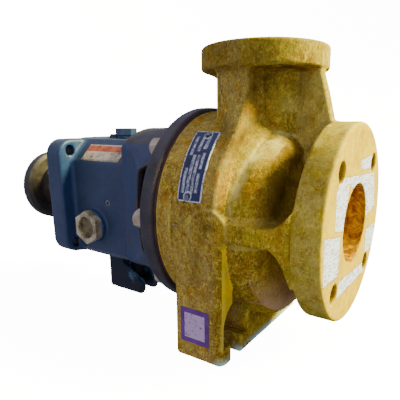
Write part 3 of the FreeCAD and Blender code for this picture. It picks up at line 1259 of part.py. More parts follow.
def bearing_cartridge():
    """Sliding housing of the thrust bearing, with its flange behind the end plate."""
    seat = THRUST_OUTER_RADIUS + SNUG
    body = turned([
        (CARTRIDGE_FRONT_X, seat),
        (CARTRIDGE_FRONT_X, CARTRIDGE_RADIUS),
        (CARTRIDGE_FLANGE_X, CARTRIDGE_RADIUS),
        (CARTRIDGE_FLANGE_X, CARTRIDGE_FLANGE_RADIUS),
        (CARTRIDGE_BACK_X, CARTRIDGE_FLANGE_RADIUS),
        (CARTRIDGE_BACK_X, OUTBOARD_SEAL_RADIUS + SNUG),
        (END_WALL_X, OUTBOARD_SEAL_RADIUS + SNUG),
        (END_WALL_X, CARTRIDGE_SHOULDER_RADIUS),
        (THRUST_BACK_X - SNUG, CARTRIDGE_SHOULDER_RADIUS),
        (THRUST_BACK_X - SNUG, seat),
    ])
    groove_half = CARTRIDGE_RING_SECTION + SNUG
    groove = tube("x", CARTRIDGE_RADIUS + 1, CARTRIDGE_RADIUS - 2 * CARTRIDGE_RING_SECTION - SNUG,
                  CARTRIDGE_RING_X - groove_half, CARTRIDGE_RING_X + groove_half)
    ring_x = retaining_ring_x()
    ring_groove = rod("x", seat + RETAINING_RING_DEPTH + SNUG, ring_x - SNUG,
                      ring_x + RETAINING_RING_THICK + SNUG)
    spaces = [groove, ring_groove]
    for y, z, _ in around(2 * CARTRIDGE_BOLTS, CARTRIDGE_BOLT_CIRCLE, 90):
        hole_radius = CARTRIDGE_BOLT_RADIUS + SNUG
        spaces.append(rod("x", hole_radius, CARTRIDGE_BACK_X - 1, CARTRIDGE_FLANGE_X + 1, (y, z)))
    return body.cut(spaces)


def retaining_ring_x():
    """Back face of the retaining ring that holds the thrust bearing."""
    return THRUST_FRONT_X + SNUG


def bearing_retaining_ring():
    """Split spring ring in the cartridge's groove."""
    ring_x = retaining_ring_x()
    ring = tube("x", THRUST_OUTER_RADIUS + RETAINING_RING_DEPTH, RETAINING_RING_INNER, ring_x,
                ring_x + RETAINING_RING_THICK)
    gap = block((ring_x - 1, ring_x + RETAINING_RING_THICK + 1), (-4, 4), (SHAFT_HEIGHT, FRAME_TOP))
    return ring.cut(gap)


def cartridge_ring():
    """Round rubber ring around the cartridge."""
    return shaft_torus(CARTRIDGE_RADIUS - CARTRIDGE_RING_SECTION, CARTRIDGE_RING_SECTION, CARTRIDGE_RING_X)


def cartridge_bolts():
    """Bolts that pull the cartridge towards the end plate."""
    bolts = []
    head_back = CARTRIDGE_BACK_X - CARTRIDGE_BOLT_HEAD
    end = PLATE_BACK_X + CARTRIDGE_BOLT_BITE
    for y, z, degrees in around(CARTRIDGE_BOLTS, CARTRIDGE_BOLT_CIRCLE, 90):
        head = hexagon("x", CARTRIDGE_BOLT_FLATS, head_back, CARTRIDGE_BACK_X, (y, z), degrees)
        shank = rod("x", CARTRIDGE_BOLT_RADIUS, CARTRIDGE_BACK_X - 1, end, (y, z))
        bolts.append(fused([head, shank]))
    return bolts


def jack_bolt_places():
    """Places of the jack bolts, midway between the cartridge bolts."""
    return around(CARTRIDGE_BOLTS, CARTRIDGE_BOLT_CIRCLE, 90 + 180.0 / CARTRIDGE_BOLTS)


def jack_bolts():
    """Bolts that push the cartridge away from the end plate."""
    bolts = []
    head_front = CARTRIDGE_BACK_X - JACK_NUT_THICK - JACK_HEAD_GAP
    head_back = head_front - CARTRIDGE_BOLT_HEAD
    for y, z, degrees in jack_bolt_places():
        head = hexagon("x", CARTRIDGE_BOLT_FLATS, head_back, head_front, (y, z), degrees)
        shank = rod("x", CARTRIDGE_BOLT_RADIUS, head_front - 1, PLATE_BACK_X - ADJUST_GAP, (y, z))
        bolts.append(fused([head, shank]))
    return bolts


def jack_nuts():
    """Lock nuts of the jack bolts."""
    nuts = []
    for y, z, degrees in jack_bolt_places():
        back = CARTRIDGE_BACK_X - JACK_NUT_THICK
        nut = hexagon("x", CARTRIDGE_BOLT_FLATS, back, CARTRIDGE_BACK_X, (y, z), degrees)
        nuts.append(nut.cut(rod("x", CARTRIDGE_BOLT_RADIUS + SNUG, back, CARTRIDGE_BACK_X, (y, z))))
    return nuts


def bearing_lock_washer():
    """Thin toothed washer between the thrust bearing and its lock nut."""
    front = THRUST_BACK_X
    back = front - LOCK_WASHER_THICK
    washer = tube("x", LOCK_NUT_RADIUS - 4, LOCK_THREAD_RADIUS + SNUG, back, front)
    tip = SHAFT_HEIGHT + LOCK_NUT_RADIUS
    tooth = block((back, front), (-2, 2), (tip - 6, tip))
    solids = [washer]
    for _, _, degrees in around(2 * LOCK_NUT_SLOTS, 1):
        copy = tooth.copy()
        copy.rotate(Vec(0, 0, SHAFT_HEIGHT), DIRECTIONS["x"], degrees)
        solids.append(copy)
    return fused(solids)


def bearing_lock_nut():
    """Round slotted nut on the shaft behind the thrust bearing."""
    front = THRUST_BACK_X - LOCK_WASHER_THICK
    back = front - LOCK_NUT_THICK
    nut = tube("x", LOCK_NUT_RADIUS, LOCK_THREAD_RADIUS + SNUG, back, front)
    half = LOCK_NUT_SLOT / 2
    slots = []
    for _, _, degrees in around(LOCK_NUT_SLOTS, 1):
        slot = block((back - 1, front + 1), (-half, half),
                     (SHAFT_HEIGHT + LOCK_NUT_RADIUS - 3, SHAFT_HEIGHT + LOCK_NUT_RADIUS + 1))
        slot.rotate(Vec(0, 0, SHAFT_HEIGHT), DIRECTIONS["x"], degrees)
        slots.append(slot)
    return nut.cut(slots)


def oil_seal(outer, shaft_radius, start, end):
    """Seal ring with a groove in its inner side."""
    inner = shaft_radius + BODY_GAP
    middle = (start + end) / 2
    ring = tube("x", outer, inner, start, end)
    return ring.cut(rod("x", inner + 3, middle - 1.5, middle + 1.5))


def inboard_oil_seal():
    """Seal in the front wall of the bearing frame."""
    start = ADAPTER_BACK_X - INBOARD_SEAL_LENGTH
    return oil_seal(INBOARD_SEAL_RADIUS, SEAL_RUN_RADIUS, start, ADAPTER_BACK_X)


def outboard_oil_seal():
    """Seal in the end wall of the cartridge."""
    return oil_seal(OUTBOARD_SEAL_RADIUS, OUTBOARD_RUN_RADIUS, CARTRIDGE_BACK_X, END_WALL_X - 0.5)


def flinger():
    """Disc on the shaft that throws leaked liquid off before it reaches the oil seal."""
    back = ADAPTER_BACK_X + FRAME_SPIGOT_LENGTH + ADJUST_GAP
    front = back + FLINGER_LENGTH
    bore = SEAL_RUN_RADIUS + SNUG
    return turned([
        (back, bore),
        (back, FLINGER_RADIUS),
        (back + 2, FLINGER_RADIUS),
        (back + 3, bore + 5),
        (front, bore + 4),
        (front, bore),
    ])


def coupling_half():
    """Shaft half of the coupling: toothed rim, hub, keyway and set screw hole."""
    outline = [
        (COUPLING_FACE_X, COUPLING_RECESS_RADIUS),
        (COUPLING_FACE_X, COUPLING_RADIUS - COUPLING_EDGE),
        (COUPLING_FACE_X + COUPLING_EDGE, COUPLING_RADIUS),
        (COUPLING_RIM_X - 3, COUPLING_RADIUS),
        (COUPLING_RIM_X, COUPLING_RADIUS - COUPLING_RIM_SLOPE),
        (COUPLING_RIM_X, COUPLING_HUB_RADIUS),
        (COUPLING_FRONT_X - COUPLING_EDGE, COUPLING_HUB_RADIUS),
        (COUPLING_FRONT_X, COUPLING_HUB_RADIUS - COUPLING_EDGE),
        (COUPLING_FRONT_X, SHAFT_END_RADIUS + SNUG),
        (COUPLING_FLOOR_X, SHAFT_END_RADIUS + SNUG),
        (COUPLING_FLOOR_X, COUPLING_RECESS_RADIUS),
    ]
    gaps = []
    tooth_space = rod("x", COUPLING_TOOTH_DEPTH, COUPLING_FACE_X - 1, COUPLING_FLOOR_X,
                      (COUPLING_RECESS_RADIUS, SHAFT_HEIGHT))
    for _, _, degrees in around(COUPLING_TEETH, 1):
        gap = tooth_space.copy()
        gap.rotate(Vec(0, 0, SHAFT_HEIGHT), DIRECTIONS["x"], degrees)
        gaps.append(gap)
    screw_hole = rod("z", SET_SCREW_RADIUS + SNUG, SHAFT_HEIGHT + SHAFT_END_RADIUS,
                     SHAFT_HEIGHT + COUPLING_HUB_RADIUS + 1, (set_screw_x(), 0.0))
    keyway_half = KEY_WIDTH / 2 + SNUG
    keyway = block((COUPLING_FLOOR_X - 1, COUPLING_FRONT_X + 1), (-keyway_half, keyway_half),
                   (SHAFT_HEIGHT, SHAFT_HEIGHT + SHAFT_END_RADIUS + KEY_HEIGHT / 2 + SNUG))
    return turned(outline).cut(gaps + [screw_hole, keyway])


def set_screw_x():
    """Place of the set screw, halfway along the hub."""
    return (COUPLING_RIM_X + COUPLING_FRONT_X) / 2


def coupling_set_screw():
    """Headless screw that presses on the key."""
    low = SHAFT_HEIGHT + SHAFT_END_RADIUS + KEY_HEIGHT / 2 + SNUG
    high = SHAFT_HEIGHT + COUPLING_HUB_RADIUS - 2
    place = (set_screw_x(), 0.0)
    screw = rod("z", SET_SCREW_RADIUS, low, high, place)
    return screw.cut(hexagon("z", SET_SCREW_RADIUS, high - 3, high + 1, place))


def drum_patch(inner, outer, start, end, low_angle, high_angle):
    """Curved plate on the near side of the drum between two angles above level."""
    angle = math.radians(low_angle)
    across = Vec(0, -math.cos(angle), math.sin(angle))
    shaft = Vec(0, 0, SHAFT_HEIGHT)
    corners = [shaft + across * radius + Vec(x, 0, 0)
               for x, radius in ((start, inner), (end, inner), (end, outer), (start, outer))]
    face = Part.Face(Part.makePolygon(corners + corners[:1]))
    return face.revolve(shaft, DIRECTIONS["x"], low_angle - high_angle)


def nameplate_screw_places():
    """(x, angle) of the two drive screws, one near each end of the nameplate."""
    inset = math.degrees((NAMEPLATE_SCREW_INSET + NAMEPLATE_SCREW_HEAD / 2) / DRUM_RADIUS)
    x = NAMEPLATE_BACK_X + NAMEPLATE_WIDTH / 2
    return [(x, NAMEPLATE_LOW_ANGLE + inset), (x, NAMEPLATE_HIGH_ANGLE - inset)]


def radial_rod(radius, inner, outer, x, degrees):
    """Rod that points away from the shaft line on the near side."""
    angle = math.radians(degrees)
    outwards = Vec(0, -math.cos(angle), math.sin(angle))
    base = Vec(x, 0, SHAFT_HEIGHT) + outwards * inner
    return Part.makeCylinder(radius, outer - inner, base, outwards)


def nameplate():
    """Thin curved plate with two screw holes."""
    inner = DRUM_RADIUS + SNUG
    plate = drum_patch(inner, inner + NAMEPLATE_THICK, NAMEPLATE_BACK_X, NAMEPLATE_BACK_X + NAMEPLATE_WIDTH,
                       NAMEPLATE_LOW_ANGLE, NAMEPLATE_HIGH_ANGLE)
    return plate.cut([radial_rod(NAMEPLATE_SCREW_RADIUS + SNUG, inner - 2, inner + 3, x, degrees)
                      for x, degrees in nameplate_screw_places()])


def nameplate_screws():
    """Drive screws through the nameplate."""
    head_low = DRUM_RADIUS + 2 * SNUG + NAMEPLATE_THICK
    head_high = head_low + NAMEPLATE_HEAD_THICK
    screws = []
    tip = head_low - NAMEPLATE_SCREW_LENGTH
    for x, degrees in nameplate_screw_places():
        shank = radial_rod(NAMEPLATE_SCREW_RADIUS, tip, head_low + 0.5, x, degrees)
        head = radial_rod(NAMEPLATE_SCREW_HEAD, head_low, head_high, x, degrees)
        screws.append(fused([shank, head]))
    return screws


def foot_label():
    """Square label on the near foot panel."""
    y_range = (-FOOT_HALF_WIDTH - LABEL_THICK, -FOOT_HALF_WIDTH)
    return block((FOOT_LABEL_BACK_X, FOOT_LABEL_BACK_X + FOOT_LABEL_LENGTH), y_range,
                 (FOOT_LABEL_BOTTOM, FOOT_LABEL_BOTTOM + FOOT_LABEL_HEIGHT))


def frame_label():
    """Label on the near upper chamfer of the bearing frame."""
    low = Vec(0, -FRAME_HALF_WIDTH, FRAME_TOP - FRAME_CHAMFER)
    along = Vec(0, 1, 1).normalize()
    outwards = Vec(0, -1, 1).normalize() * LABEL_THICK
    corners = []
    for x, distance in ((0, 0), (FRAME_LABEL_LENGTH, 0), (FRAME_LABEL_LENGTH, 1), (0, 1)):
        place = low + along * (FRAME_LABEL_RISE + distance * FRAME_LABEL_WIDTH)
        corners.append(place + Vec(FRAME_LABEL_BACK_X + x, 0, 0))
    return prism(corners, outwards)


def cut_for_screws(shape):
    """Shape with the holes of the nameplate screws."""
    low = DRUM_RADIUS + NAMEPLATE_THICK - NAMEPLATE_SCREW_LENGTH
    return shape.cut([radial_rod(NAMEPLATE_SCREW_RADIUS + SNUG, low, DRUM_RADIUS + 1, x, degrees)
                      for x, degrees in nameplate_screw_places()])


def all_nodes():
    """Every sub-part's solids by name."""
    nodes = {
        "casing": [cut_for_screws(casing())],
        "boss_plugs": boss_plugs(),
        "casing_gasket": [casing_gasket()],
        "rear_cover": [rear_cover()],
        "gland_plate": [gland_plate()],
        "gland_studs": gland_studs(),
        "gland_nuts": gland_nuts(),
        "seal_stationary_seat": [seal_stationary_seat()],
        "seal_seat_ring": [seal_seat_ring()],
        "seal_face_ring": [seal_face_ring()],
        "seal_bellows": [seal_bellows()],
        "seal_retainer": [seal_retainer()],
        "casing_studs": casing_studs(),
        "casing_nuts": casing_nuts(),
        "casing_washers": casing_washers(),
        "impeller": [impeller()],
        "impeller_ring": [impeller_ring()],
        "shaft": [shaft()],
        "shaft_sleeve": [shaft_sleeve()],
        "frame_adapter": [frame_adapter()],
        "adapter_bolts": adapter_bolts(),
        "bearing_frame": [bearing_frame()],
        "frame_pipe_plugs": frame_pipe_plugs(),
        "oil_fill_plug": [oil_fill_plug()],
        "oil_drain_plug": [oil_drain_plug()],
        "sight_glass_bezel": [sight_glass_bezel()],
        "sight_glass_window": [sight_glass_window()],
        "sight_glass_reflector": [sight_glass_reflector()],
        "frame_foot": [frame_foot()],
        "frame_foot_bolts": frame_foot_bolts(),
        "bearing_cartridge": [bearing_cartridge()],
        "bearing_retaining_ring": [bearing_retaining_ring()],
        "cartridge_ring": [cartridge_ring()],
        "cartridge_bolts": cartridge_bolts(),
        "jack_bolts": jack_bolts(),
        "jack_nuts": jack_nuts(),
        "bearing_lock_washer": [bearing_lock_washer()],
        "bearing_lock_nut": [bearing_lock_nut()],
        "inboard_oil_seal": [inboard_oil_seal()],
        "outboard_oil_seal": [outboard_oil_seal()],
        "flinger": [flinger()],
        "coupling_half": [coupling_half()],
        "coupling_key": [coupling_key()],
        "coupling_set_screw": [coupling_set_screw()],
        "nameplate": [nameplate()],
        "nameplate_screws": nameplate_screws(),
        "foot_label": [foot_label()],
        "frame_label": [frame_label()],
    }
    nodes.update(inboard_bearing())
    nodes.update(thrust_bearing())
    return nodes


def solids_of(shapes):
    """Every solid in a list of shapes."""
    return [solid for shape in shapes for solid in shape.Solids]


os.makedirs("parts", exist_ok=True)
for node, shapes in all_nodes().items():
    solids = solids_of(shapes)
    shape = solids[0] if len(solids) == 1 else Part.makeCompound(solids)
    shape.exportStep("parts/" + node + ".step")
    print(node, len(solids), round(shape.Volume, 1), shape.isValid())
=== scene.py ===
import json
import math

import bmesh
import bpy
import numpy as np
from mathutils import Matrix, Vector


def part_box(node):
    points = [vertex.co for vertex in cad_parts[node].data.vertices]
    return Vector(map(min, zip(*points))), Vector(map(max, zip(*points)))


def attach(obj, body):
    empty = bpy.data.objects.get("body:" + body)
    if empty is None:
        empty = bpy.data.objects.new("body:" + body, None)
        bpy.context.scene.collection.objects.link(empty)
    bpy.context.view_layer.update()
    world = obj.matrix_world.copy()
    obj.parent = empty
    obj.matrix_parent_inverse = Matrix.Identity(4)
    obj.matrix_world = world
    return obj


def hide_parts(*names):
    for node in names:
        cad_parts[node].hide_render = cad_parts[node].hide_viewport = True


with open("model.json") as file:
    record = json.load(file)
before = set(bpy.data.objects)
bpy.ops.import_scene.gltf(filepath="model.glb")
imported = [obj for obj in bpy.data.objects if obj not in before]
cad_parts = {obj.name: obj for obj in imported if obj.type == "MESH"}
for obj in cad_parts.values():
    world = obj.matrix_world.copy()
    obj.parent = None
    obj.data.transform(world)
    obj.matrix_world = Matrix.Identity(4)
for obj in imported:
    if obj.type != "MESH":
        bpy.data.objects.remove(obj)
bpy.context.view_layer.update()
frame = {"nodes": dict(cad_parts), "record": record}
nodes = frame["nodes"]

# Sizes in millimetres, in the row frame, as the CAD source has them
SHAFT = 133.35
DRUM_R = 106.0
DRUM_BACK, DRUM_FRONT = -58.0, 9.0
SUCTION_FACE, SUCTION_BACK = 101.6, 74.6
TOP, NECK_TOP = 298.45, 276.45
RING_FRONT, RING_BACK, ADAPTER_BACK = -61.0, -76.0, -152.0
PLATE_FRONT, PLATE_BACK = -242.0, -269.0
FRAME_LOW, FRAME_HIGH = 59.55, 207.15
PANEL = 103.0
SIGHT = (-204.7, 100.7)
OIL_X = -199.0
SUCTION_FLANGE_R, SUCTION_CIRCLE, SUCTION_BORE = 95.25, 76.2, 38.1
TOP_FLANGE_R, TOP_HOLE_AT = 63.5, 34.79
FOOT_BOLT_Y = 76.2
BOSS_R, STUD_CIRCLE, RING_R, HOOD_R = 20.0, 98.0, 110.0, 88.0
DISCHARGE_BORE, DISCHARGE_WIDE = 19.05, 20.55
WALL_Y, WALL_BACK = 50.0, -25.0
FEET_BACK, FEET_FRONT, FEET_IN, FEET_HIGH = -41.0, 16.0, 46.0, 25.0
POCKET_R, POCKET_Z, SLOT_R = 21.0, 41.0, 9.5
CHAMBER_BACK, CHAMBER_R, COVER_R = -12.45, 79.0, 82.05
PLATE_HALF, PLATE_ROUND = 53.8, 20.0
CARTRIDGE_R, INBOARD_R, NECK_R = 45.08, 36.08, 26.05
SIGHT_R, SIGHT_HOLE_R = 20.0, 15.05
BULGE_X, BULGE_Z, BULGE_DISC, BULGE_R = 23.0, 123.35, 71.0, 25.0
FOOT_BACK, FOOT_TOE, FOOT_SLOT, FOOT_BOLT_X = -228.65, -170.15, -184.15, -218.15


# Distances: negative inside, positive outside
def slab(v, low, high):
    """Space between two planes."""
    return np.maximum(low - v, v - high)


def join(a, b, r):
    """Union with a hollow fillet of radius r."""
    u = np.maximum(r - a, 0)
    v = np.maximum(r - b, 0)
    return np.maximum(r, np.minimum(a, b)) - np.sqrt(u * u + v * v)


def meet(a, b, r):
    """Part inside both, with the edge between them rounded by r."""
    u = np.maximum(r + a, 0)
    v = np.maximum(r + b, 0)
    return np.minimum(-r, np.maximum(a, b)) + np.sqrt(u * u + v * v)


def carve(a, b, r):
    """a with b taken out, the mouth rounded by r."""
    return meet(a, -b, r)


def polygon(u, v, corners):
    """Distance to a closed flat outline."""
    best = None
    sign = 1.0
    count = len(corners)
    for i in range(count):
        ax, ay = corners[i]
        bx, by = corners[i - 1]
        ex, ey = bx - ax, by - ay
        wx, wy = u - ax, v - ay
        t = np.clip((wx * ex + wy * ey) / (ex * ex + ey * ey), 0, 1)
        gap = (wx - ex * t) ** 2 + (wy - ey * t) ** 2
        best = gap if best is None else np.minimum(best, gap)
        one, two, three = v >= ay, v < by, ex * wy > ey * wx
        flip = (one & two & three) | (~one & ~two & ~three)
        sign = np.where(flip, -sign, sign)
    return sign * np.sqrt(best)


def capsule(x, y, z, start, end, r_start, r_end):
    """Round bar between two points, with a radius at each end."""
    a, b = np.array(start), np.array(end)
    d = b - a
    t = np.clip(((x - a[0]) * d[0] + (y - a[1]) * d[1] + (z - a[2]) * d[2]) / d.dot(d), 0, 1)
    gap = np.sqrt((x - a[0] - d[0] * t) ** 2 + (y - a[1] - d[1] * t) ** 2 + (z - a[2] - d[2] * t) ** 2)
    return gap - (r_start + (r_end - r_start) * t)


def circle_of_rods(y, z, count, circle, radius, start=0.0):
    """Distance in the YZ plane to rods spread evenly around the shaft line."""
    best = None
    for step in range(count):
        angle = math.radians(start + 360 * step / count)
        cy, cz = circle * math.cos(angle), SHAFT + circle * math.sin(angle)
        gap = np.sqrt((y - cy) ** 2 + (z - cz) ** 2)
        best = gap if best is None else np.minimum(best, gap)
    return best - radius


def bulge_gap(x, y, z):
    """Volute bulge: a thick disc with a round rim."""
    across = np.sqrt((y + 1) ** 2 + (z - BULGE_Z) ** 2)
    return np.sqrt(np.maximum(across - BULGE_DISC, 0) ** 2 + (x - BULGE_X) ** 2) - BULGE_R


def cone_gap(x, rad):
    """Slope of the shallow cone in front of the drum."""
    return ((rad - 98) * 13 + (x - 9) * 8) / 15.26


def casing_field(x, y, z, holes=True):
    s = z - SHAFT
    rad = np.sqrt(y * y + s * s)
    near = np.abs(y)
    # Drum, neck wall and the softened ridge in front of them
    drum = rad - DRUM_R
    strip = np.maximum(np.maximum(near - WALL_Y, -s), WALL_BACK - x)
    flank = 6 + 29 * np.clip((x + 14) / 14, 0, 1)
    body = join(drum, strip, flank)
    edge = 3.0 + 3.5 * np.clip((222 - z) / 30, 0, 1)
    body = np.maximum(meet(body, x - DRUM_FRONT, edge), z - NECK_TOP - 1)
    body = np.maximum(body, DRUM_BACK - x)
    legs_x = slab(x, FEET_BACK, FEET_FRONT)
    body = np.maximum(body, -np.maximum(np.maximum(PANEL - near, legs_x), z - 240))
    # Shallow front face behind the volute
    cone = np.maximum(cone_gap(x, rad), slab(x, 5, 22))
    body = join(body, cone, 5.0)
    # Volute bulge and its outlet horn
    horn = capsule(x, y, z, (BULGE_X, -52, SHAFT + 38), (14, 0, SHAFT + 66), 24, 23)
    nozzle = np.maximum(np.sqrt((x - 14) ** 2 + y * y) - 23, slab(z, SHAFT + 60, NECK_TOP + 1))
    outlet = join(horn, nozzle, 8.0)
    swell = join(bulge_gap(x, y, z), outlet, 6.0)
    body = join(body, swell, 1.2 + 2.8 * np.clip((s - 70) / 25, 0, 1))
    # Suction neck and flange
    neck = np.maximum(rad - 50, slab(x, 20, SUCTION_FACE - 6))
    body = join(body, neck, 11.0)
    flange = meet(rad - SUCTION_FLANGE_R, slab(x, SUCTION_BACK, SUCTION_FACE - 0.35), 3.0)
    body = join(body, flange, 6.0)
    # Webs in the middle plane
    front = polygon(x, z, [(0, 277), (58, 277), (61.5, 273), (67, 256), (75.6, 222), (76, 150), (0, 150)])
    web = meet(front, near - 7, 3.0)
    back = polygon(x, z, [(-20, 277), (-58, 277), (-50, 267), (-45, 254), (-43, 236), (-20, 236)])
    web = np.minimum(web, meet(back, near - 7, 3.0))
    body = join(body, web, 5.0)
    top = meet(np.sqrt(x * x + y * y) - TOP_FLANGE_R, slab(z, NECK_TOP, TOP), 3.0)
    body = join(body, top, 5.0)
    # Feet, base and saddle
    leg = meet(legs_x, slab(near, FEET_IN, PANEL), 7.0)
    leg = meet(leg, slab(z, 0, SHAFT), 4.0)
    base = meet(meet(legs_x, near - PANEL + 3, 6.0), slab(z, 0, FEET_HIGH), 3.0)
    saddle = np.maximum(np.maximum(slab(x, FEET_BACK, 14), near - WALL_Y), slab(z, 15, 50))
    feet = join(np.minimum(leg, base), saddle, 6.0)
    body = join(body, feet, 4.0)
    # Side bosses and ribs
    boss = meet(np.sqrt(x * x + s * s) - BOSS_R, slab(near, FEET_IN, PANEL + 1.5), 1.5)
    body = join(body, boss, 1.5 + 2.5 * np.clip((x - 12) / 8, 0, 1))
    rib_line = [(0, -8.5), (58.6, -8.5), (65, -13.3), (70.6, -22.9), (76, -43.7),
                (76, 24.5), (68.2, 14.9), (58.6, 8.5), (0, 8.5)]
    rib = meet(polygon(x, s, rib_line), np.maximum(rad - 101.5, 40 - near), 2.0)
    body = join(body, rib, 3.5)
    # Foot pockets and slots
    offset = np.abs(near - FOOT_BOLT_Y)
    arch = np.where(z > POCKET_Z, np.sqrt(offset ** 2 + (z - POCKET_Z) ** 2) - POCKET_R,
                    np.maximum(offset - POCKET_R, 19 - z))
    body = carve(body, np.maximum(arch, slab(x, -20, 60)), 2.5)
    slot = np.where(x < 0, np.sqrt(x * x + offset ** 2) - SLOT_R, offset - SLOT_R)
    body = carve(body, np.maximum(slot, slab(z, -5, 20)), 1.5)
    if not holes:
        return body
    # Liquid passages
    room = np.interp(x, [CHAMBER_BACK, 14.9, 28.4, 110],
                     [CHAMBER_R, CHAMBER_R, SUCTION_BORE, SUCTION_BORE])
    chamber = np.maximum(rad - room, CHAMBER_BACK - x)
    discharge = np.where(z > 232.45, DISCHARGE_BORE, DISCHARGE_WIDE)
    passages = [
        chamber,
        np.maximum(rad - COVER_R, x - CHAMBER_BACK),
        np.sqrt((np.sqrt((y + 3) ** 2 + (z - SHAFT + 3) ** 2) - 78) ** 2 + (x - 3) ** 2) - 13,
        np.maximum(np.sqrt(x * x + y * y) - discharge, 209.35 - z),
    ]
    for space in passages:
        body = carve(body, space, 0.8)
    # Bolt holes and the plugged holes in the bosses
    body = carve(body, np.maximum(circle_of_rods(y, z, 4, SUCTION_CIRCLE, 9.5, 45), 70 - x), 1.0)
    gap = np.sqrt((np.abs(x) - TOP_HOLE_AT) ** 2 + (near - TOP_HOLE_AT) ** 2) - 8
    body = carve(body, np.maximum(gap, 275 - z), 1.0)
    body = np.maximum(body, -np.maximum(circle_of_rods(y, z, 8, STUD_CIRCLE, 4.5), x + 33))
    plug = np.sqrt(x * x + s * s) - 7.1
    return carve(body, np.maximum(plug, PANEL + 1.1 - near), 0.3)


def frame_outline(inset, floor):
    """Corners (y, z) of the bearing frame's eight-sided section."""
    half, cut = 55 - inset, 27 - 0.586 * inset
    low, high = FRAME_LOW + floor, FRAME_HIGH - inset
    right = [(half - 6.5, low), (half, low + 6.5), (half, high - cut), (half - cut, high)]
    return right + [(-y, z) for y, z in reversed(right)]


def frame_field(x, y, z, holes=True):
    s = z - SHAFT
    rad = np.sqrt(y * y + s * s)
    section = polygon(y, z, frame_outline(3.5, 3.5)) - 3.5
    body = np.maximum(section, slab(x, PLATE_FRONT - 5, ADAPTER_BACK))
    past_y, past_z = np.maximum(np.abs(y) - PLATE_HALF, 0), np.maximum(np.abs(s) - PLATE_HALF, 0)
    plate = np.sqrt(past_y ** 2 + past_z ** 2) - PLATE_ROUND
    body = join(body, meet(plate, slab(x, PLATE_BACK, PLATE_FRONT), 3.5), 6.0)
    sight_rad = np.sqrt((x - SIGHT[0]) ** 2 + (z - SIGHT[1]) ** 2)
    body = join(body, meet(sight_rad - SIGHT_R, slab(y, -62, -50), 1.2), 4.0)
    lug = meet(meet(slab(x, -226, -213), np.abs(y) - 5, 1.5), slab(z, 200, 212.65), 1.5)
    body = join(body, lug, 2.0)
    body = np.minimum(body, np.maximum(rad - 45, slab(x, -155, -146)))
    if not holes:
        return body
    inner = np.maximum(polygon(y, z, frame_outline(8, 12.5)), slab(x, -236, -186))
    spaces = [
        inner,
        np.maximum(rad - CARTRIDGE_R, slab(x, -280, -235)),
        np.maximum(rad - INBOARD_R, slab(x, -187, -163)),
        np.maximum(rad - NECK_R, slab(x, -164, -140)),
        np.maximum(np.sqrt((x - OIL_X) ** 2 + y * y) - 9.55, 198 - z),
        np.maximum(np.sqrt((x - OIL_X) ** 2 + (y - 30) ** 2) - 6.1, z - 73),
        np.maximum(sight_rad - SIGHT_HOLE_R, y + 46),
        np.maximum(np.sqrt((np.abs(y) - 57) ** 2 + (np.abs(s) - 60) ** 2) - 6.5, x + 241),
        np.maximum(np.sqrt((x - FOOT_BOLT_X) ** 2 + (np.abs(y) - 9) ** 2) - 4.95, z - 70.5),
        np.maximum(np.sqrt((np.abs(y) - 36) ** 2 + (np.abs(s) - 48) ** 2) - 5.05, -173 - x),
        np.maximum(circle_of_rods(y, z, 3, 53, 4.35, 90), x + 249),
    ]
    for place_x, place_z in ((-182.2, 131.5), (-228.2, 70.0)):
        hole = np.sqrt((x - place_x) ** 2 + (z - place_z) ** 2) - 4.05
        spaces.append(np.maximum(hole, 49 - np.abs(y)))
    for space in spaces:
        body = carve(body, space, 0.7)
    return body


def adapter_width(x, inset):
    """Half width of the waisted hood along the shaft."""
    length = RING_BACK - ADAPTER_BACK
    t = (x - ADAPTER_BACK) / length
    return np.interp(t, [0, 0.1, 0.25, 0.4, 0.55, 0.7, 0.85, 1.3],
                     [56, 56, 59.5, 65.6, 73.5, 82, 88, 88]) - inset


def adapter_field(x, y, z, holes=True):
    s = z - SHAFT
    rad = np.sqrt(y * y + s * s)
    near = np.abs(y)
    side = (near - adapter_width(x, 0.0)) * 0.88
    hood = meet(meet(rad - HOOD_R, side, 3.0), slab(x, ADAPTER_BACK, -70), 0.8)
    hollow = np.maximum(np.maximum(rad - 80, (near - adapter_width(x, 8.0)) * 0.88), slab(x, -140, -75))
    ring = meet(rad - RING_R, slab(x, RING_BACK, RING_FRONT), 2.0)
    body = join(hood, ring, 5.0)
    window = meet(np.abs(s) - 50, np.maximum(-121 + 14 * (s / 46) ** 2 - x, x + 76), 9.0)
    body = np.maximum(body, -hollow)
    body = carve(body, np.maximum(window, 40 - near), 1.5)
    if not holes:
        return body
    spaces = [
        np.maximum(rad - 70, -78 - x),
        np.maximum(rad - 88.05, -70.05 - x),
        np.maximum(rad - 45.05, x + 138),
        np.maximum(circle_of_rods(y, z, 8, STUD_CIRCLE, 5.11), -80 - x),
        np.maximum(np.sqrt((near - 36) ** 2 + (np.abs(s) - 48) ** 2) - 5.35, x + 138),
    ]
    for space in spaces:
        body = carve(body, space, 0.6)
    return body


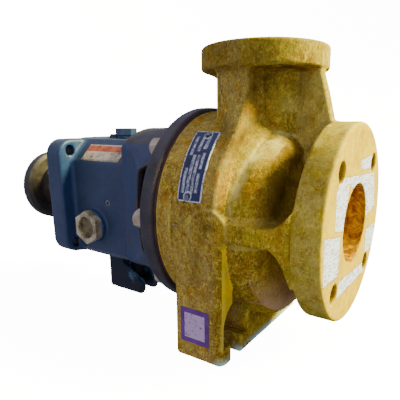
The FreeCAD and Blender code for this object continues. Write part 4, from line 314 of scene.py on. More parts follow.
def foot_field(x, y, z, holes=True):
    outline = [(FOOT_BACK + 0.5, 4.5), (FOOT_BACK + 1.8, 1.8), (FOOT_BACK + 4.5, 0.5), (FOOT_TOE, 0.5),
               (FOOT_TOE + 3, 7), (FOOT_TOE + 3, 14), (FOOT_TOE - 10, 30),
               (-199.65, 40), (-207.65, 59.3), (FOOT_BACK + 0.5, 59.3)]
    body = meet(polygon(x, z, outline), np.abs(y) - 18, 3.0)
    side = x - FOOT_SLOT
    slot = np.where(side < 0, np.sqrt(side ** 2 + y * y) - 8.5, np.abs(y) - 8.5)
    body = carve(body, np.maximum(slot, slab(z, -5, 60)), 1.5)
    body = carve(body, np.maximum(np.sqrt(side ** 2 + y * y) - 14.5, 14 - z), 1.5)
    if not holes:
        return body
    bolt = np.sqrt((x - FOOT_BOLT_X) ** 2 + (np.abs(y) - 9) ** 2)
    body = np.maximum(body, -(bolt - 5.25))
    return np.maximum(body, -np.maximum(bolt - 7.85, z - 20))


# Surface from a distance field
def slopes(field, points, h=0.04):
    """Field value and its gradient at many points."""
    x, y, z = points.T
    value = field(x, y, z)
    change = [field(x + h, y, z) - field(x - h, y, z),
              field(x, y + h, z) - field(x, y - h, z),
              field(x, y, z + h) - field(x, y, z - h)]
    return value, np.stack(change, 1) / (2 * h)


def grid_values(field, low, step, counts):
    """Field on a grid, worked out a few layers at a time."""
    y = (low[1] + step * np.arange(counts[1]))[None, :, None]
    z = (low[2] + step * np.arange(counts[2]))[None, None, :]
    layers = []
    for start in range(0, counts[0], 12):
        stop = min(start + 12, counts[0])
        x = (low[0] + step * np.arange(start, stop))[:, None, None]
        shape = (stop - start, counts[1], counts[2])
        layers.append(np.broadcast_to(field(x, y, z), shape).astype(np.float32))
    return np.concatenate(layers)


def surface(field, low, high, step):
    """Vertices and quads of the field's zero surface."""
    low, high = np.array(low, float), np.array(high, float)
    counts = np.ceil((high - low) / step).astype(int) + 1
    values = grid_values(field, low, step, counts)
    inside = values < 0
    steps = [(i, j, k) for i in (0, 1) for j in (0, 1) for k in (0, 1)]
    cells = counts - 1
    total = np.zeros(cells, np.int8)
    for i, j, k in steps:
        total += inside[i:i + cells[0], j:j + cells[1], k:k + cells[2]]
    active = np.argwhere((total > 0) & (total < 8))
    index = np.full(cells, -1, np.int32)
    index[tuple(active.T)] = np.arange(len(active))
    corner = np.stack([values[active[:, 0] + i, active[:, 1] + j, active[:, 2] + k]
                       for i, j, k in steps], 1)
    place = np.zeros((len(active), 3))
    hits = np.zeros(len(active))
    for a in range(8):
        for bit in (4, 2, 1):
            if a & bit:
                continue
            b = a | bit
            cross = (corner[:, a] < 0) != (corner[:, b] < 0)
            share = np.where(cross, corner[:, a] / np.where(cross, corner[:, a] - corner[:, b], 1), 0)
            point = np.array(steps[a]) + share[:, None] * (np.array(steps[b]) - np.array(steps[a]))
            place += np.where(cross[:, None], point, 0)
            hits += cross
    points = low + step * (active + place / hits[:, None])
    for _ in range(3):
        value, slope = slopes(field, points)
        size = np.maximum((slope ** 2).sum(1), 0.05)
        move = np.clip(value / size, -0.5 * step, 0.5 * step)
        points -= slope * move[:, None]
    quads = []
    for axis in range(3):
        first = np.take(inside, range(counts[axis] - 1), axis)
        second = np.take(inside, range(1, counts[axis]), axis)
        edge = np.argwhere(first != second)
        one, two = (axis + 1) % 3, (axis + 2) % 3
        keep = (edge[:, one] > 0) & (edge[:, two] > 0)
        keep &= (edge[:, one] < cells[one]) & (edge[:, two] < cells[two])
        edge = edge[keep]
        u, v = np.eye(3, dtype=int)[one], np.eye(3, dtype=int)[two]
        around = [edge, edge - u, edge - u - v, edge - v]
        quad = np.stack([index[tuple(c.T)] for c in around], 1)
        out = first[tuple(edge.T)]
        quads.append(np.where(out[:, None], quad, quad[:, ::-1]))
    return points, np.concatenate(quads)


def noise(points, scale, seed):
    """Smooth bumps from -1 to 1, the same on every run."""
    rng = np.random.default_rng(seed)
    total = np.zeros(len(points))
    for _ in range(14):
        direction = rng.normal(size=3)
        direction /= np.linalg.norm(direction)
        length = scale * rng.uniform(0.6, 1.7)
        total += np.sin(points @ direction * (2 * math.pi / length) + rng.uniform(0, 6.28))
    return total / 14 ** 0.5 / 1.4


def add_mesh(name, points, faces, body):
    """Smooth mesh object from millimetre points, riding on a body."""
    if isinstance(faces, np.ndarray):
        faces = faces.tolist()
    mesh = bpy.data.meshes.new(name)
    mesh.from_pydata((np.array(points) * 0.001).tolist(), [], faces)
    mesh.update()
    mesh.polygons.foreach_set("use_smooth", [True] * len(mesh.polygons))
    obj = bpy.data.objects.new(name, mesh)
    bpy.context.scene.collection.objects.link(obj)
    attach(obj, body)
    return obj


def keep_values(obj, name, columns):
    """Four values at each point of a mesh, for its material."""
    layer = obj.data.color_attributes.new(name, "FLOAT_COLOR", "POINT")
    layer.data.foreach_set("color", np.stack(columns, 1).astype(np.float32).ravel())


def cast_piece(name, field, low, high, step, body, node, rough, extra):
    """Soft-edged casting that stands for a CAD node, with values at its points for wear, stains, painted
    shade and painted highlights.
    """
    points, quads = surface(field, low, high, step)
    _, slope = slopes(field, points)
    normal = slope / np.maximum(np.sqrt((slope ** 2).sum(1)), 1e-3)[:, None]
    hollow = 1 - field(*(points + normal * 7).T, False) / 7
    raised = 1 + field(*(points - normal * 3).T, False) / 3
    first, second, calm, spots = extra(points, normal)
    wave = (noise(points, 38, 3) * rough + noise(points, 11, 5) * rough * 0.4) * calm
    box_low, box_high = (np.array(corner) * 1000 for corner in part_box(node))
    points = np.clip(points + normal * wave[:, None], box_low, box_high)
    obj = add_mesh(name, points, quads, body)
    keep_values(obj, "marks", (np.clip(hollow, 0, 1), np.clip(raised, 0, 1), first, second))
    keep_values(obj, "spots", spots)
    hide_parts(node)
    return obj


# Procedural materials
def rgb(code):
    """Linear colour from six hexadecimal digits."""
    parts = [int(code[i:i + 2], 16) / 255 for i in (0, 2, 4)]
    return tuple(c / 12.92 if c <= 0.04045 else ((c + 0.055) / 1.055) ** 2.4 for c in parts) + (1.0,)


class Paint:
    """Small helper that wires one procedural material."""

    def __init__(self, name, roughness=0.5, metallic=0.0, specular=0.5):
        self.mat = bpy.data.materials.new(name)
        self.mat.use_nodes = True
        self.tree = self.mat.node_tree
        self.shader = self.tree.nodes["Principled BSDF"]
        self.shader.inputs["Roughness"].default_value = roughness
        self.shader.inputs["Metallic"].default_value = metallic
        self.shader.inputs["Specular IOR Level"].default_value = specular
        self.place = self.add("ShaderNodeTexCoord").outputs["Object"]
        self.height = None

    def add(self, kind, **values):
        node = self.tree.nodes.new(kind)
        for key, value in values.items():
            setattr(node, key, value)
        return node

    def plug(self, source, socket):
        if isinstance(source, (int, float, tuple)):
            socket.default_value = source
        else:
            self.tree.links.new(source, socket)

    def noise(self, scale, detail=3.0, rough=0.55, warp=0.0, at=None):
        node = self.add("ShaderNodeTexNoise")
        self.plug(at or self.place, node.inputs["Vector"])
        values = {"Scale": scale, "Detail": detail, "Roughness": rough, "Distortion": warp}
        for key, value in values.items():
            node.inputs[key].default_value = value
        return node.outputs["Fac"]

    def ramp(self, source, stops):
        node = self.add("ShaderNodeValToRGB")
        ramp = node.color_ramp
        while len(ramp.elements) < len(stops):
            ramp.elements.new(0.5)
        for element, (at, value) in zip(ramp.elements, stops):
            element.position = at
            element.color = value if isinstance(value, tuple) else (value, value, value, 1)
        self.plug(source, node.inputs["Fac"])
        return node.outputs["Color"]

    def mix(self, share, a, b, kind="MIX"):
        node = self.add("ShaderNodeMix", data_type="RGBA", blend_type=kind)
        self.plug(share, node.inputs["Factor"])
        self.plug(a, node.inputs[6])
        self.plug(b, node.inputs[7])
        return node.outputs[2]

    def math(self, kind, a, b=0.0):
        node = self.add("ShaderNodeMath", operation=kind)
        self.plug(a, node.inputs[0])
        self.plug(b, node.inputs[1])
        return node.outputs[0]

    def split(self, source):
        node = self.add("ShaderNodeSeparateXYZ")
        self.plug(source, node.inputs[0])
        return node.outputs

    def stretched(self, factors, turn=(0, 0, 0)):
        node = self.add("ShaderNodeMapping")
        self.plug(self.place, node.inputs["Vector"])
        node.inputs["Scale"].default_value = factors
        node.inputs["Rotation"].default_value = turn
        return node.outputs["Vector"]

    def kept(self, name="marks"):
        """Four values kept at the mesh points. Those of marks are hollow, raised and two masks."""
        node = self.add("ShaderNodeAttribute", attribute_name=name)
        split = self.add("ShaderNodeSeparateColor")
        self.plug(node.outputs["Color"], split.inputs[0])
        return split.outputs[0], split.outputs[1], split.outputs[2], node.outputs["Alpha"]

    def band(self, source, low, high, soft=0.0001):
        """One between two values of a source, nought outside them."""
        rise = self.add("ShaderNodeMapRange", interpolation_type="SMOOTHSTEP")
        self.plug(source, rise.inputs["Value"])
        rise.inputs["From Min"].default_value = low - soft
        rise.inputs["From Max"].default_value = low + soft
        fall = self.add("ShaderNodeMapRange", interpolation_type="SMOOTHSTEP")
        self.plug(source, fall.inputs["Value"])
        fall.inputs["From Min"].default_value = high - soft
        fall.inputs["From Max"].default_value = high + soft
        return self.math("SUBTRACT", rise.outputs["Result"], fall.outputs["Result"])

    def bump(self, source, distance, strength=1.0):
        node = self.add("ShaderNodeBump")
        node.inputs["Distance"].default_value = distance
        node.inputs["Strength"].default_value = strength
        self.plug(source, node.inputs["Height"])
        if self.height is not None:
            self.plug(self.height, node.inputs["Normal"])
        self.height = node.outputs["Normal"]

    def done(self, colour, roughness=None):
        self.plug(colour, self.shader.inputs["Base Color"])
        if roughness is not None:
            self.plug(roughness, self.shader.inputs["Roughness"])
        if self.height is not None:
            self.plug(self.height, self.shader.inputs["Normal"])
        return self.mat


def frp_material(name):
    """Moulded glass-fibre resin with strands, mottling, stains and wear, painted shade and painted
    highlights.
    """
    p = Paint(name, 0.55, specular=0.0)
    hollow, raised, bore, patch = p.kept()
    painted_highlight, stain_and_shade, yellow, violet = p.kept("spots")
    cloud = p.ramp(p.noise(17, 4, 0.6), [(0.36, 0.0), (0.62, 1.0)])
    colour = p.mix(cloud, rgb("bc9414"), rgb("97730c"))
    olive = p.ramp(p.noise(27, 3, 0.6, 0.4, p.stretched((1, 2, 2.6))), [(0.48, 0.0), (0.64, 0.8)])
    colour = p.mix(olive, colour, rgb("948818"))
    axes = p.split(p.place)
    colour = p.mix(p.ramp(axes[2], [(0.19, 0.0), (0.235, 0.55)]), colour, rgb("9c9232"))
    colour = p.mix(p.ramp(axes[0], [(0.07, 0.0), (0.078, 0.55)]), colour, rgb("ac981c"))
    # Painted shade tint: tan on the drum and everything behind its front
    colour = p.mix(p.ramp(axes[0], [(0.004, 0.5), (0.012, 0.0)]), colour, rgb("a88a58"))
    turned = p.stretched((2.4, 1, 1.6), (0.4, 0.2, 0.9))
    amber = p.ramp(p.noise(34, 3, 0.6, 0.4, turned), [(0.52, 0.0), (0.66, 0.8)])
    colour = p.mix(amber, colour, rgb("a4700a"))
    blotch = p.math("MULTIPLY", p.ramp(p.noise(13, 4, 0.65, 0.6), [(0.50, 0.0), (0.62, 1.0)]),
                    p.ramp(p.noise(70, 3, 0.6), [(0.3, 0.35), (0.6, 0.8)]))
    colour = p.mix(blotch, colour, rgb("704e0e"))
    # Short strands of fibre, pale and dark, lying in several directions
    strands = [((0.3, 0.9, 0.2), 190, "dcc244", 0.65), ((1.4, 0.2, 1.1), 235, "d0b236", 0.65),
               ((2.2, 1.3, 0.5), 210, "553a0c", 0.5), ((0.9, 2.0, 1.7), 250, "62430e", 0.45)]
    for turn, scale, shade, share in strands:
        at = p.stretched((1.0, 1.0, 0.4), turn)
        wave = p.math("ABSOLUTE", p.math("SUBTRACT", p.noise(scale, 2, 0.5, 1.4, at), 0.5))
        thread = p.ramp(wave, [(0.012, 1.0), (0.05, 0.0)])
        area = p.noise(scale * 0.7, 2, 0.5, 0, p.stretched((1, 1, 1), turn))
        where = p.ramp(area, [(0.44, 0.0), (0.56, share)])
        colour = p.mix(p.math("MULTIPLY", thread, where), colour, rgb(shade))
    dark_specks = p.ramp(p.noise(560, 2, 0.6), [(0.58, 0.0), (0.68, 0.6)])
    colour = p.mix(dark_specks, colour, rgb("4a340e"))
    pale_specks = p.ramp(p.noise(480, 2, 0.6, 0.5), [(0.60, 0.0), (0.70, 0.5)])
    colour = p.mix(pale_specks, colour, rgb("e2cc60"))
    # Dirt and painted shade in hollows, rubbed edges and painted highlights, stains and painted shade,
    # painted yellow highlights and painted light low on the volute
    uneven = p.ramp(p.noise(40, 4), [(0.3, 0.4), (0.6, 1.0)])
    # Hollows darkened: dirt, and painted shade where less light falls
    dirt_and_shade = p.math("MULTIPLY", p.ramp(hollow, [(0.2, 0.0), (0.95, 0.55)]), uneven)
    colour = p.mix(dirt_and_shade, colour, rgb("5a3d12"))
    patchy = p.ramp(p.noise(75, 4, 0.65), [(0.38, 0.1), (0.58, 1.0)])
    # Pale raised edges: wear and a painted highlight
    rub_and_highlight = p.math("MULTIPLY", p.ramp(raised, [(0.15, 0.0), (0.6, 0.7)]), patchy)
    colour = p.mix(rub_and_highlight, colour, rgb("dcc248"))
    # Painted highlights along crests and edges
    colour = p.mix(p.math("MULTIPLY", painted_highlight, patchy), colour, rgb("e2d06c"))
    # Stains, and painted shade behind the flange, in the recess and on the shoulder
    colour = p.mix(p.math("MULTIPLY", stain_and_shade, uneven), colour, rgb("5c4614"))
    # Painted yellow highlight
    colour = p.mix(p.math("MULTIPLY", yellow, uneven), colour, rgb("f0c808"))
    # Painted light low on the volute
    colour = p.mix(p.math("MULTIPLY", violet, uneven), colour, rgb("c69c6c"))
    # Orange in the bores, old white gasket and green paint on the rims
    shades = [(0.35, rgb("7c4a00")), (0.52, rgb("b88200")), (0.70, rgb("e8bc00"))]
    grain = p.ramp(p.noise(150, 3, 0.6, 0.8), shades)
    colour = p.mix(bore, colour, grain)
    holes = p.ramp(p.noise(300, 3, 0.7), [(0.37, 0.0), (0.43, 1.0)])
    worn = p.ramp(p.noise(60, 4, 0.65), [(0.30, 0.0), (0.36, 1.0)])
    shades = [(0.30, rgb("8f8f9c")), (0.44, rgb("cfd4ea")), (0.7, rgb("e2e8ff"))]
    chalk = p.ramp(p.noise(420, 2, 0.6), shades)
    pressed = p.noise(330, 2, 0.5, 0.2, p.stretched((1, 0.35, 2.2), (0.2, 0, 0)))
    rows = p.ramp(pressed, [(0.56, 0.0), (0.64, 0.75)])
    chalk = p.mix(rows, chalk, rgb("7c7c88"))
    edge = p.math("MULTIPLY", p.math("SUBTRACT", p.noise(170, 4, 0.7), 0.5), 1.1)
    ragged = p.ramp(p.math("ADD", patch, edge), [(0.46, 0.0), (0.56, 1.0)])
    paste = p.math("MULTIPLY", p.math("MULTIPLY", ragged, holes), worn)
    colour = p.mix(paste, colour, chalk)
    low = p.math("MULTIPLY", p.ramp(axes[2], [(0.004, 1.0), (0.009, 0.0)]),
                 p.ramp(axes[0], [(0.004, 0.0), (0.012, 1.0)]))
    green = p.math("MULTIPLY", low, p.ramp(p.noise(70, 3), [(0.42, 0.0), (0.50, 1.0)]))
    colour = p.mix(green, colour, rgb("9fc9ae"))
    p.bump(p.noise(230, 4, 0.65, 0.6), 0.0005, 0.6)
    p.bump(p.noise(60, 3, 0.6), 0.001, 0.4)
    p.bump(paste, 0.0005, 0.5)
    return p.done(colour, p.ramp(p.noise(90, 4, 0.6), [(0.3, 0.4), (0.7, 0.65)]))


def cast_paint(name, base, dark, worn, edge, rough=0.42):
    """Painted casting with sandy grain, painted shade in the hollows, and rubbed edges with painted
    highlights.
    """
    p = Paint(name, rough, specular=0.3)
    hollow, raised, first, second = p.kept()
    colour = p.mix(p.ramp(p.noise(20, 4, 0.6), [(0.35, 0.0), (0.65, 1.0)]), rgb(base), rgb(dark))
    streaks = p.ramp(p.noise(150, 4, 0.65, 0.3, p.stretched((1, 1, 0.25))), [(0.3, 0.35), (0.6, 1.0)])
    # First mask: worn paint, and on the frame plate and the foot's toe a painted highlight
    colour = p.mix(p.math("MULTIPLY", first, streaks), colour, rgb(worn))
    # Painted shade: near-black in the hollows
    colour = p.mix(p.ramp(hollow, [(0.25, 0.0), (0.9, 0.7)]), colour, rgb("06080c"))
    chips = p.ramp(p.noise(95, 5, 0.65), [(0.44, 0.0), (0.6, 0.9)])
    # Raised edges and the second mask: rubbed edges, and on the frame plate a painted highlight
    rub_and_highlight = p.math("MAXIMUM", p.ramp(raised, [(0.14, 0.0), (0.55, 1.0)]), second)
    colour = p.mix(p.math("MULTIPLY", rub_and_highlight, chips), colour, rgb(edge))
    colour = p.mix(p.ramp(p.noise(240, 4, 0.7), [(0.64, 0.0), (0.76, 0.3)]), colour, rgb("6f7780"))
    p.bump(p.noise(420, 3, 0.6), 0.0005, 0.6)
    p.bump(p.noise(110, 3, 0.6), 0.0009, 0.4)
    return p.done(colour, p.ramp(p.noise(60, 4), [(0.3, rough - 0.1), (0.7, rough + 0.12)]))


def metal(name, base, dark, rough=0.35, metallic=1.0, scale=1.0, lathe=False):
    """Machined or plated metal with fine scratches and stains."""
    p = Paint(name, rough, metallic)
    cloud = p.ramp(p.noise(45 * scale, 4, 0.6), [(0.35, 0.0), (0.7, 1.0)])
    colour = p.mix(cloud, rgb(base), rgb(dark))
    fine = p.stretched((1.0, 0.06, 0.06)) if lathe else p.stretched((0.12, 1.0, 0.12))
    lines = p.noise((2600 if lathe else 900) * scale, 3, 0.6, 0, fine)
    colour = p.mix(p.ramp(lines, [(0.45, 0.0), (0.75, 0.5)]), colour, rgb(dark))
    p.bump(lines, 0.00008, 0.6)
    p.bump(p.noise(150 * scale, 3), 0.0002, 0.3)
    stops = [(0.3, max(rough - 0.12, 0.05)), (0.7, rough + 0.18)]
    return p.done(colour, p.ramp(p.noise(130 * scale, 4), stops))


def dull(name, base, dark, rough=0.6, scale=1.0, bump=0.0002):
    """Rubber, resin, ceramic or film with fine grain."""
    p = Paint(name, rough)
    cloud = p.ramp(p.noise(60 * scale, 4, 0.6), [(0.35, 0.0), (0.65, 1.0)])
    colour = p.mix(cloud, rgb(base), rgb(dark))
    specks = p.ramp(p.noise(500 * scale, 2), [(0.55, 0.0), (0.7, 0.4)])
    colour = p.mix(specks, colour, rgb(dark))
    p.bump(p.noise(380 * scale, 3, 0.6), bump, 0.5)
    stops = [(0.3, max(rough - 0.1, 0.05)), (0.7, min(rough + 0.1, 1.0))]
    return p.done(colour, p.ramp(p.noise(100 * scale, 3), stops))


def assign(material, *objects):
    """The one material of each object."""
    for obj in objects:
        obj.data.materials.clear()
        obj.data.materials.append(material)


def soft(distance, width):
    """One at nought, fading out over a width."""
    return np.exp(-(distance / width) ** 2)


REMNANTS = [
    [(-52.9, 49.1), (60.8, 42.7), (75.9, 5.2), (40.3, -0.4), (0, 30)],
    [(-52.9, 49.1), (-65.4, 39.4), (-62.9, 5.5), (-36, 0.4), (-30, 40)],
    [(-89.1, 5.4), (-45.6, -3.0), (-45.7, -38.6), (-85.8, -36.7)],
    [(-40.9, -46.4), (43.7, -52.4), (49.7, -64.1), (-43.3, -61.7)],
    [(45.7, -15.6), (84.6, -16.5), (88.3, -44.2), (51.1, -43.2)],
    [(4.0, 60.1), (46.6, 61.9), (47.5, 48.7), (3.5, 50.9)],
]


def casing_marks(points, normal):
    """Masks for the bores and the old gasket, calm places, and stains with painted shade, painted
    highlights, painted yellow highlights and painted light.
    """
    x, y, z = points.T
    s = z - SHAFT
    rad = np.hypot(y, s)
    bore = ((rad < SUCTION_BORE + 1.4) & (x > 20) & (x < SUCTION_FACE - 1.2)).astype(float)
    bore = np.maximum(bore, (np.hypot(x, y) < 19.8) & (z > 230) & (z < TOP - 1.2))
    patch = np.zeros(len(points))
    for corners in REMNANTS:
        patch = np.maximum(patch, np.clip(0.5 - polygon(y, s, corners) / 3, 0, 1))
    patch *= (x > SUCTION_FACE - 1.2) & (rad > 38.5)
    angle = np.degrees(np.arctan2(s, -y))
    plate = (slab(x, -44, 0) < 0) & (slab(angle, 9, 58) < 0) & (rad > 100)
    label = (slab(x, -36, 5) < 0) & (slab(z, 14, 58) < 0) & (y < -98)
    stud = (x < -28) & (np.abs(s) < 10) & (np.abs(y) > 95)
    flat = plate | label | stud | (x > SUCTION_FACE - 1.5) | (z > TOP - 1.5)
    # Painted highlights: pale lines on the valley beside the volute, drum's front edge, web, neck wall,
    # nozzle, rims, ribs, leg fronts
    cone = cone_gap(x, rad)
    swell = bulge_gap(x, y, z)
    valley = soft(cone - 1.0, 1.9) * soft(swell - 1.0, 1.9) * (s > 12) * (x < 40)
    ridge = soft(rad - 103.5, 2.0) * soft(x - 6.5, 2.0) * (s > 12)
    web = (soft(np.abs(y) - 6.5, 1.3) * (z > 190) * (x > 36) * (x < 80)) * 0.35
    seam = soft(np.abs(y) - 8.5, 1.6) * soft(swell - 1.0, 1.6) * (x > 10) * 0.8
    fibre = soft(np.hypot(x - 36, z - 243), 8.0) * (np.abs(y) < 40) * 0.3
    rim = soft(rad - 94.5, 1.6) * (x > 74) * 0.35
    ring = soft(np.hypot(x, s) - 20, 1.2) * (np.abs(y) > 100) * 0.3
    wall = soft(np.abs(y) - 48.6, 1.4) * soft(x - 7.6, 1.6) * (z > 212) * 0.6
    arm = (slab(x, 18, 74) < 0) * (np.abs(s) < 14) * (np.abs(y) > 60) * (rad < 100) * 0.3
    front = (normal[:, 0] > 0.7) & (slab(x, 12, 18) < 0) & (np.abs(y) > 86)
    leg_front = front * np.clip((z - 30) / 30, 0, 1)
    painted_highlight = valley + ridge * 0.45 + wall + web + seam + fibre + rim + ring + arm + leg_front * 0.4
    painted_highlight = np.clip(painted_highlight, 0, 1)
    # Stains on the boss plugs, drum under the neck, panel and flange edge, a darker tone on the volute and
    # a darker lower suction face; painted shade on the drum's shoulder, behind the suction flange, in the
    # neck recess, on the top flange's sides and ahead of the neck
    plug = soft(np.hypot(x - 2, s - 4), 8.0) * (np.abs(y) > 95) * 0.4
    under_neck = soft(z - 217 + 0.5 * x, 9.0) * soft(x + 10, 22.0) * (rad > 98) * 0.55
    panel = soft(x + 16, 9.0) * soft(z - 88, 26.0) * (np.abs(y) > 98) * 0.4
    flange = soft(np.hypot(x - 84, np.abs(y) - 70), 13.0) * (s > 30) * 0.6
    # Painted shade on the drum's shoulder
    shoulder = soft(rad - 100, 6.0) * soft(x - 4, 9.0) * (s > 14) * 0.4
    tone = (x > 14) * (x < 72) * (rad < 98) * (s > 14) * (np.abs(y) > 9) * 0.15
    # Painted shadow behind the suction flange
    behind = np.clip((x - 34) / 14, 0, 1) * (x < 73) * (s > 0) * (np.abs(y) > 8)
    behind = behind * np.clip((100 - rad) / 10, 0, 1) * 0.75
    # Painted shade in the neck recess, deeper where the surface turns away from +X
    turned = np.clip(1.0 - 1.25 * normal[:, 0], 0.15, 1)
    recess = (x > 9.5) * (slab(z, 205, 277.5) < 0) * (np.abs(y) < 47) * (np.hypot(x, y) < 61)
    recess = recess * np.clip(0.45 + (z - 235) / 60, 0, 1) * turned * np.clip((60 - x) / 22, 0, 1)
    # Painted shade on the top flange's sides
    side = np.clip(np.abs(normal[:, 1]) * 1.6 - 0.5, 0, 1) * (z > 274) * 0.5
    face = (x > SUCTION_FACE - 1.5) * np.clip((150 - z) / 60, 0, 1) * 0.35
    # Painted shade on forward faces ahead of the neck
    ahead = np.clip((normal[:, 0] - 0.3) / 0.3, 0, 1) * (slab(x, 1, 14) < 0)
    ahead = ahead * (z > 196) * (np.abs(y) > 32) * 0.5
    stain_and_shade = plug + under_neck + panel + flange + shoulder + tone + behind + recess * 0.9
    stain_and_shade = stain_and_shade + side + face + ahead
    stain_and_shade = np.clip(stain_and_shade, 0, 1)
    # Painted yellow highlight on the leg fronts and round the suction face
    yellow = np.clip(leg_front + soft(x - SUCTION_FACE, 3.0) * (rad > 38.5) * 0.5 * (patch < 0.2), 0, 1)
    # Painted light: a pale mauve tint growing towards the bottom of the volute
    violet = np.clip((98 - z) / 40, 0, 1) * (rad < 99) * (slab(x, 16, 72) < 0) * (np.abs(y) < 92) * 0.8
    return bore, patch, np.where(flat, 0.0, 1.0), (painted_highlight, stain_and_shade, yellow, violet)


def no_spots(points):
    """No painted highlights, stains, painted shade or painted light."""
    return tuple(np.zeros(len(points)) for _ in range(4))


def frame_marks(points, normal):
    """Rubbed teal on the plate's front, painted lighter towards the top as a highlight, a painted
    highlight along its upper front edge, and rubbed teal on the sight glass boss.
    """
    x, y, z = points.T
    plate = np.clip((x - PLATE_FRONT + 2.5) / 2.0, 0, 1) * np.clip((PLATE_FRONT + 6 - x) / 4, 0, 1)
    plate *= (np.abs(normal[:, 0]) > 0.5) & (y < 10)
    boss = (np.hypot(x - SIGHT[0], z - SIGHT[1]) < 21) & (y < -56)
    # Painted highlight: the teal grows lighter towards the top
    painted_light_fade = 0.35 + 0.65 * np.clip((z - 70) / 110, 0, 1)
    # Painted highlight along the plate's upper front edge
    edge = soft(x - PLATE_FRONT, 2.5) * (z > 180) * 0.8
    label = (slab(x, -230, -158) < 0) & (slab(z, 178, 203) < 0) & (y < -30)
    calm = np.where(label, 0.0, 1.0)
    return np.clip(plate * painted_light_fade + boss * 0.9, 0, 1), edge * 0.5, calm, no_spots(points)


def adapter_marks(points, normal):
    """Navy sides under the charcoal hood, rust-brown edge on the ring."""
    x, y, z = points.T
    rad = np.hypot(y, z - SHAFT)
    side = (np.abs(normal[:, 1]) > 0.6) & (x < -77) & (rad < 104)
    edge = soft(rad - 109, 2.0) * soft(x - RING_FRONT, 3.0)
    return side * 1.0, edge * 0.5, np.ones(len(points)), no_spots(points)


def foot_marks(points, normal):
    """Painted highlight on the toe's upward faces and dusty lower edge."""
    x, _, z = points.T
    # Painted highlight on faces turned upwards
    painted_toe_highlight = (normal[:, 2] > 0.4) & (x > -205)
    return painted_toe_highlight * 0.8, soft(z - 2, 3.0) * 0.3, np.ones(len(points)), no_spots(points)


casing_look = cast_piece("casing_moulding", casing_field, (-66, -107, -2), (104, 107, 300.5), 1.3,
                         "pump_body", "casing", 0.2, casing_marks)
assign(frp_material("frp_moulding"), casing_look)

frame_look = cast_piece("bearing_frame_casting", frame_field, (-271, -76, 57), (-144, 76, 214.5), 1.4,
                        "pump_body", "bearing_frame", 0.15, frame_marks)
# Worn colour: rubbed teal, painted lighter at the top; edge colour: painted highlight on the plate
assign(cast_paint("frame_paint", "364254", "293747", "17355a", "27486f"), frame_look)

foot_look = cast_piece("frame_foot_casting", foot_field, (-231, -20, -2), (-165, 20, 62), 1.2,
                       "pump_body", "frame_foot", 0.12, foot_marks)
# Worn colour: painted highlight on the toe's top
assign(cast_paint("foot_paint", "070e18", "060b12", "1c3a4e", "3c5c6c"), foot_look)

adapter_look = cast_piece("frame_adapter_casting", adapter_field, (-154, -112, 21), (-59, 112, 245.5), 1.5,
                          "pump_body", "frame_adapter", 0.15, adapter_marks)
assign(cast_paint("adapter_paint", "4e4843", "34302d", "33425a", "5a4030", 0.6), adapter_look)


# Nameplate with blank fields, following the drum
PLATE_CORNERS = [(-33.0, 13.5), (-6.5, 13.4), (-10.5, 53.2), (-38.5, 53.8)]
PLATE_SCREWS = [(-22.0, 16.1), (-22.0, 50.4)]
PLATE_FIELDS = [(0.14, 0.26, 0.10, 0.42), (0.32, 0.45, 0.10, 0.60), (0.51, 0.62, 0.10, 0.60),
                (0.69, 0.80, 0.12, 0.36), (0.69, 0.80, 0.42, 0.64), (0.16, 0.27, 0.60, 0.90),
                (0.40, 0.52, 0.66, 0.88), (0.62, 0.76, 0.70, 0.92)]


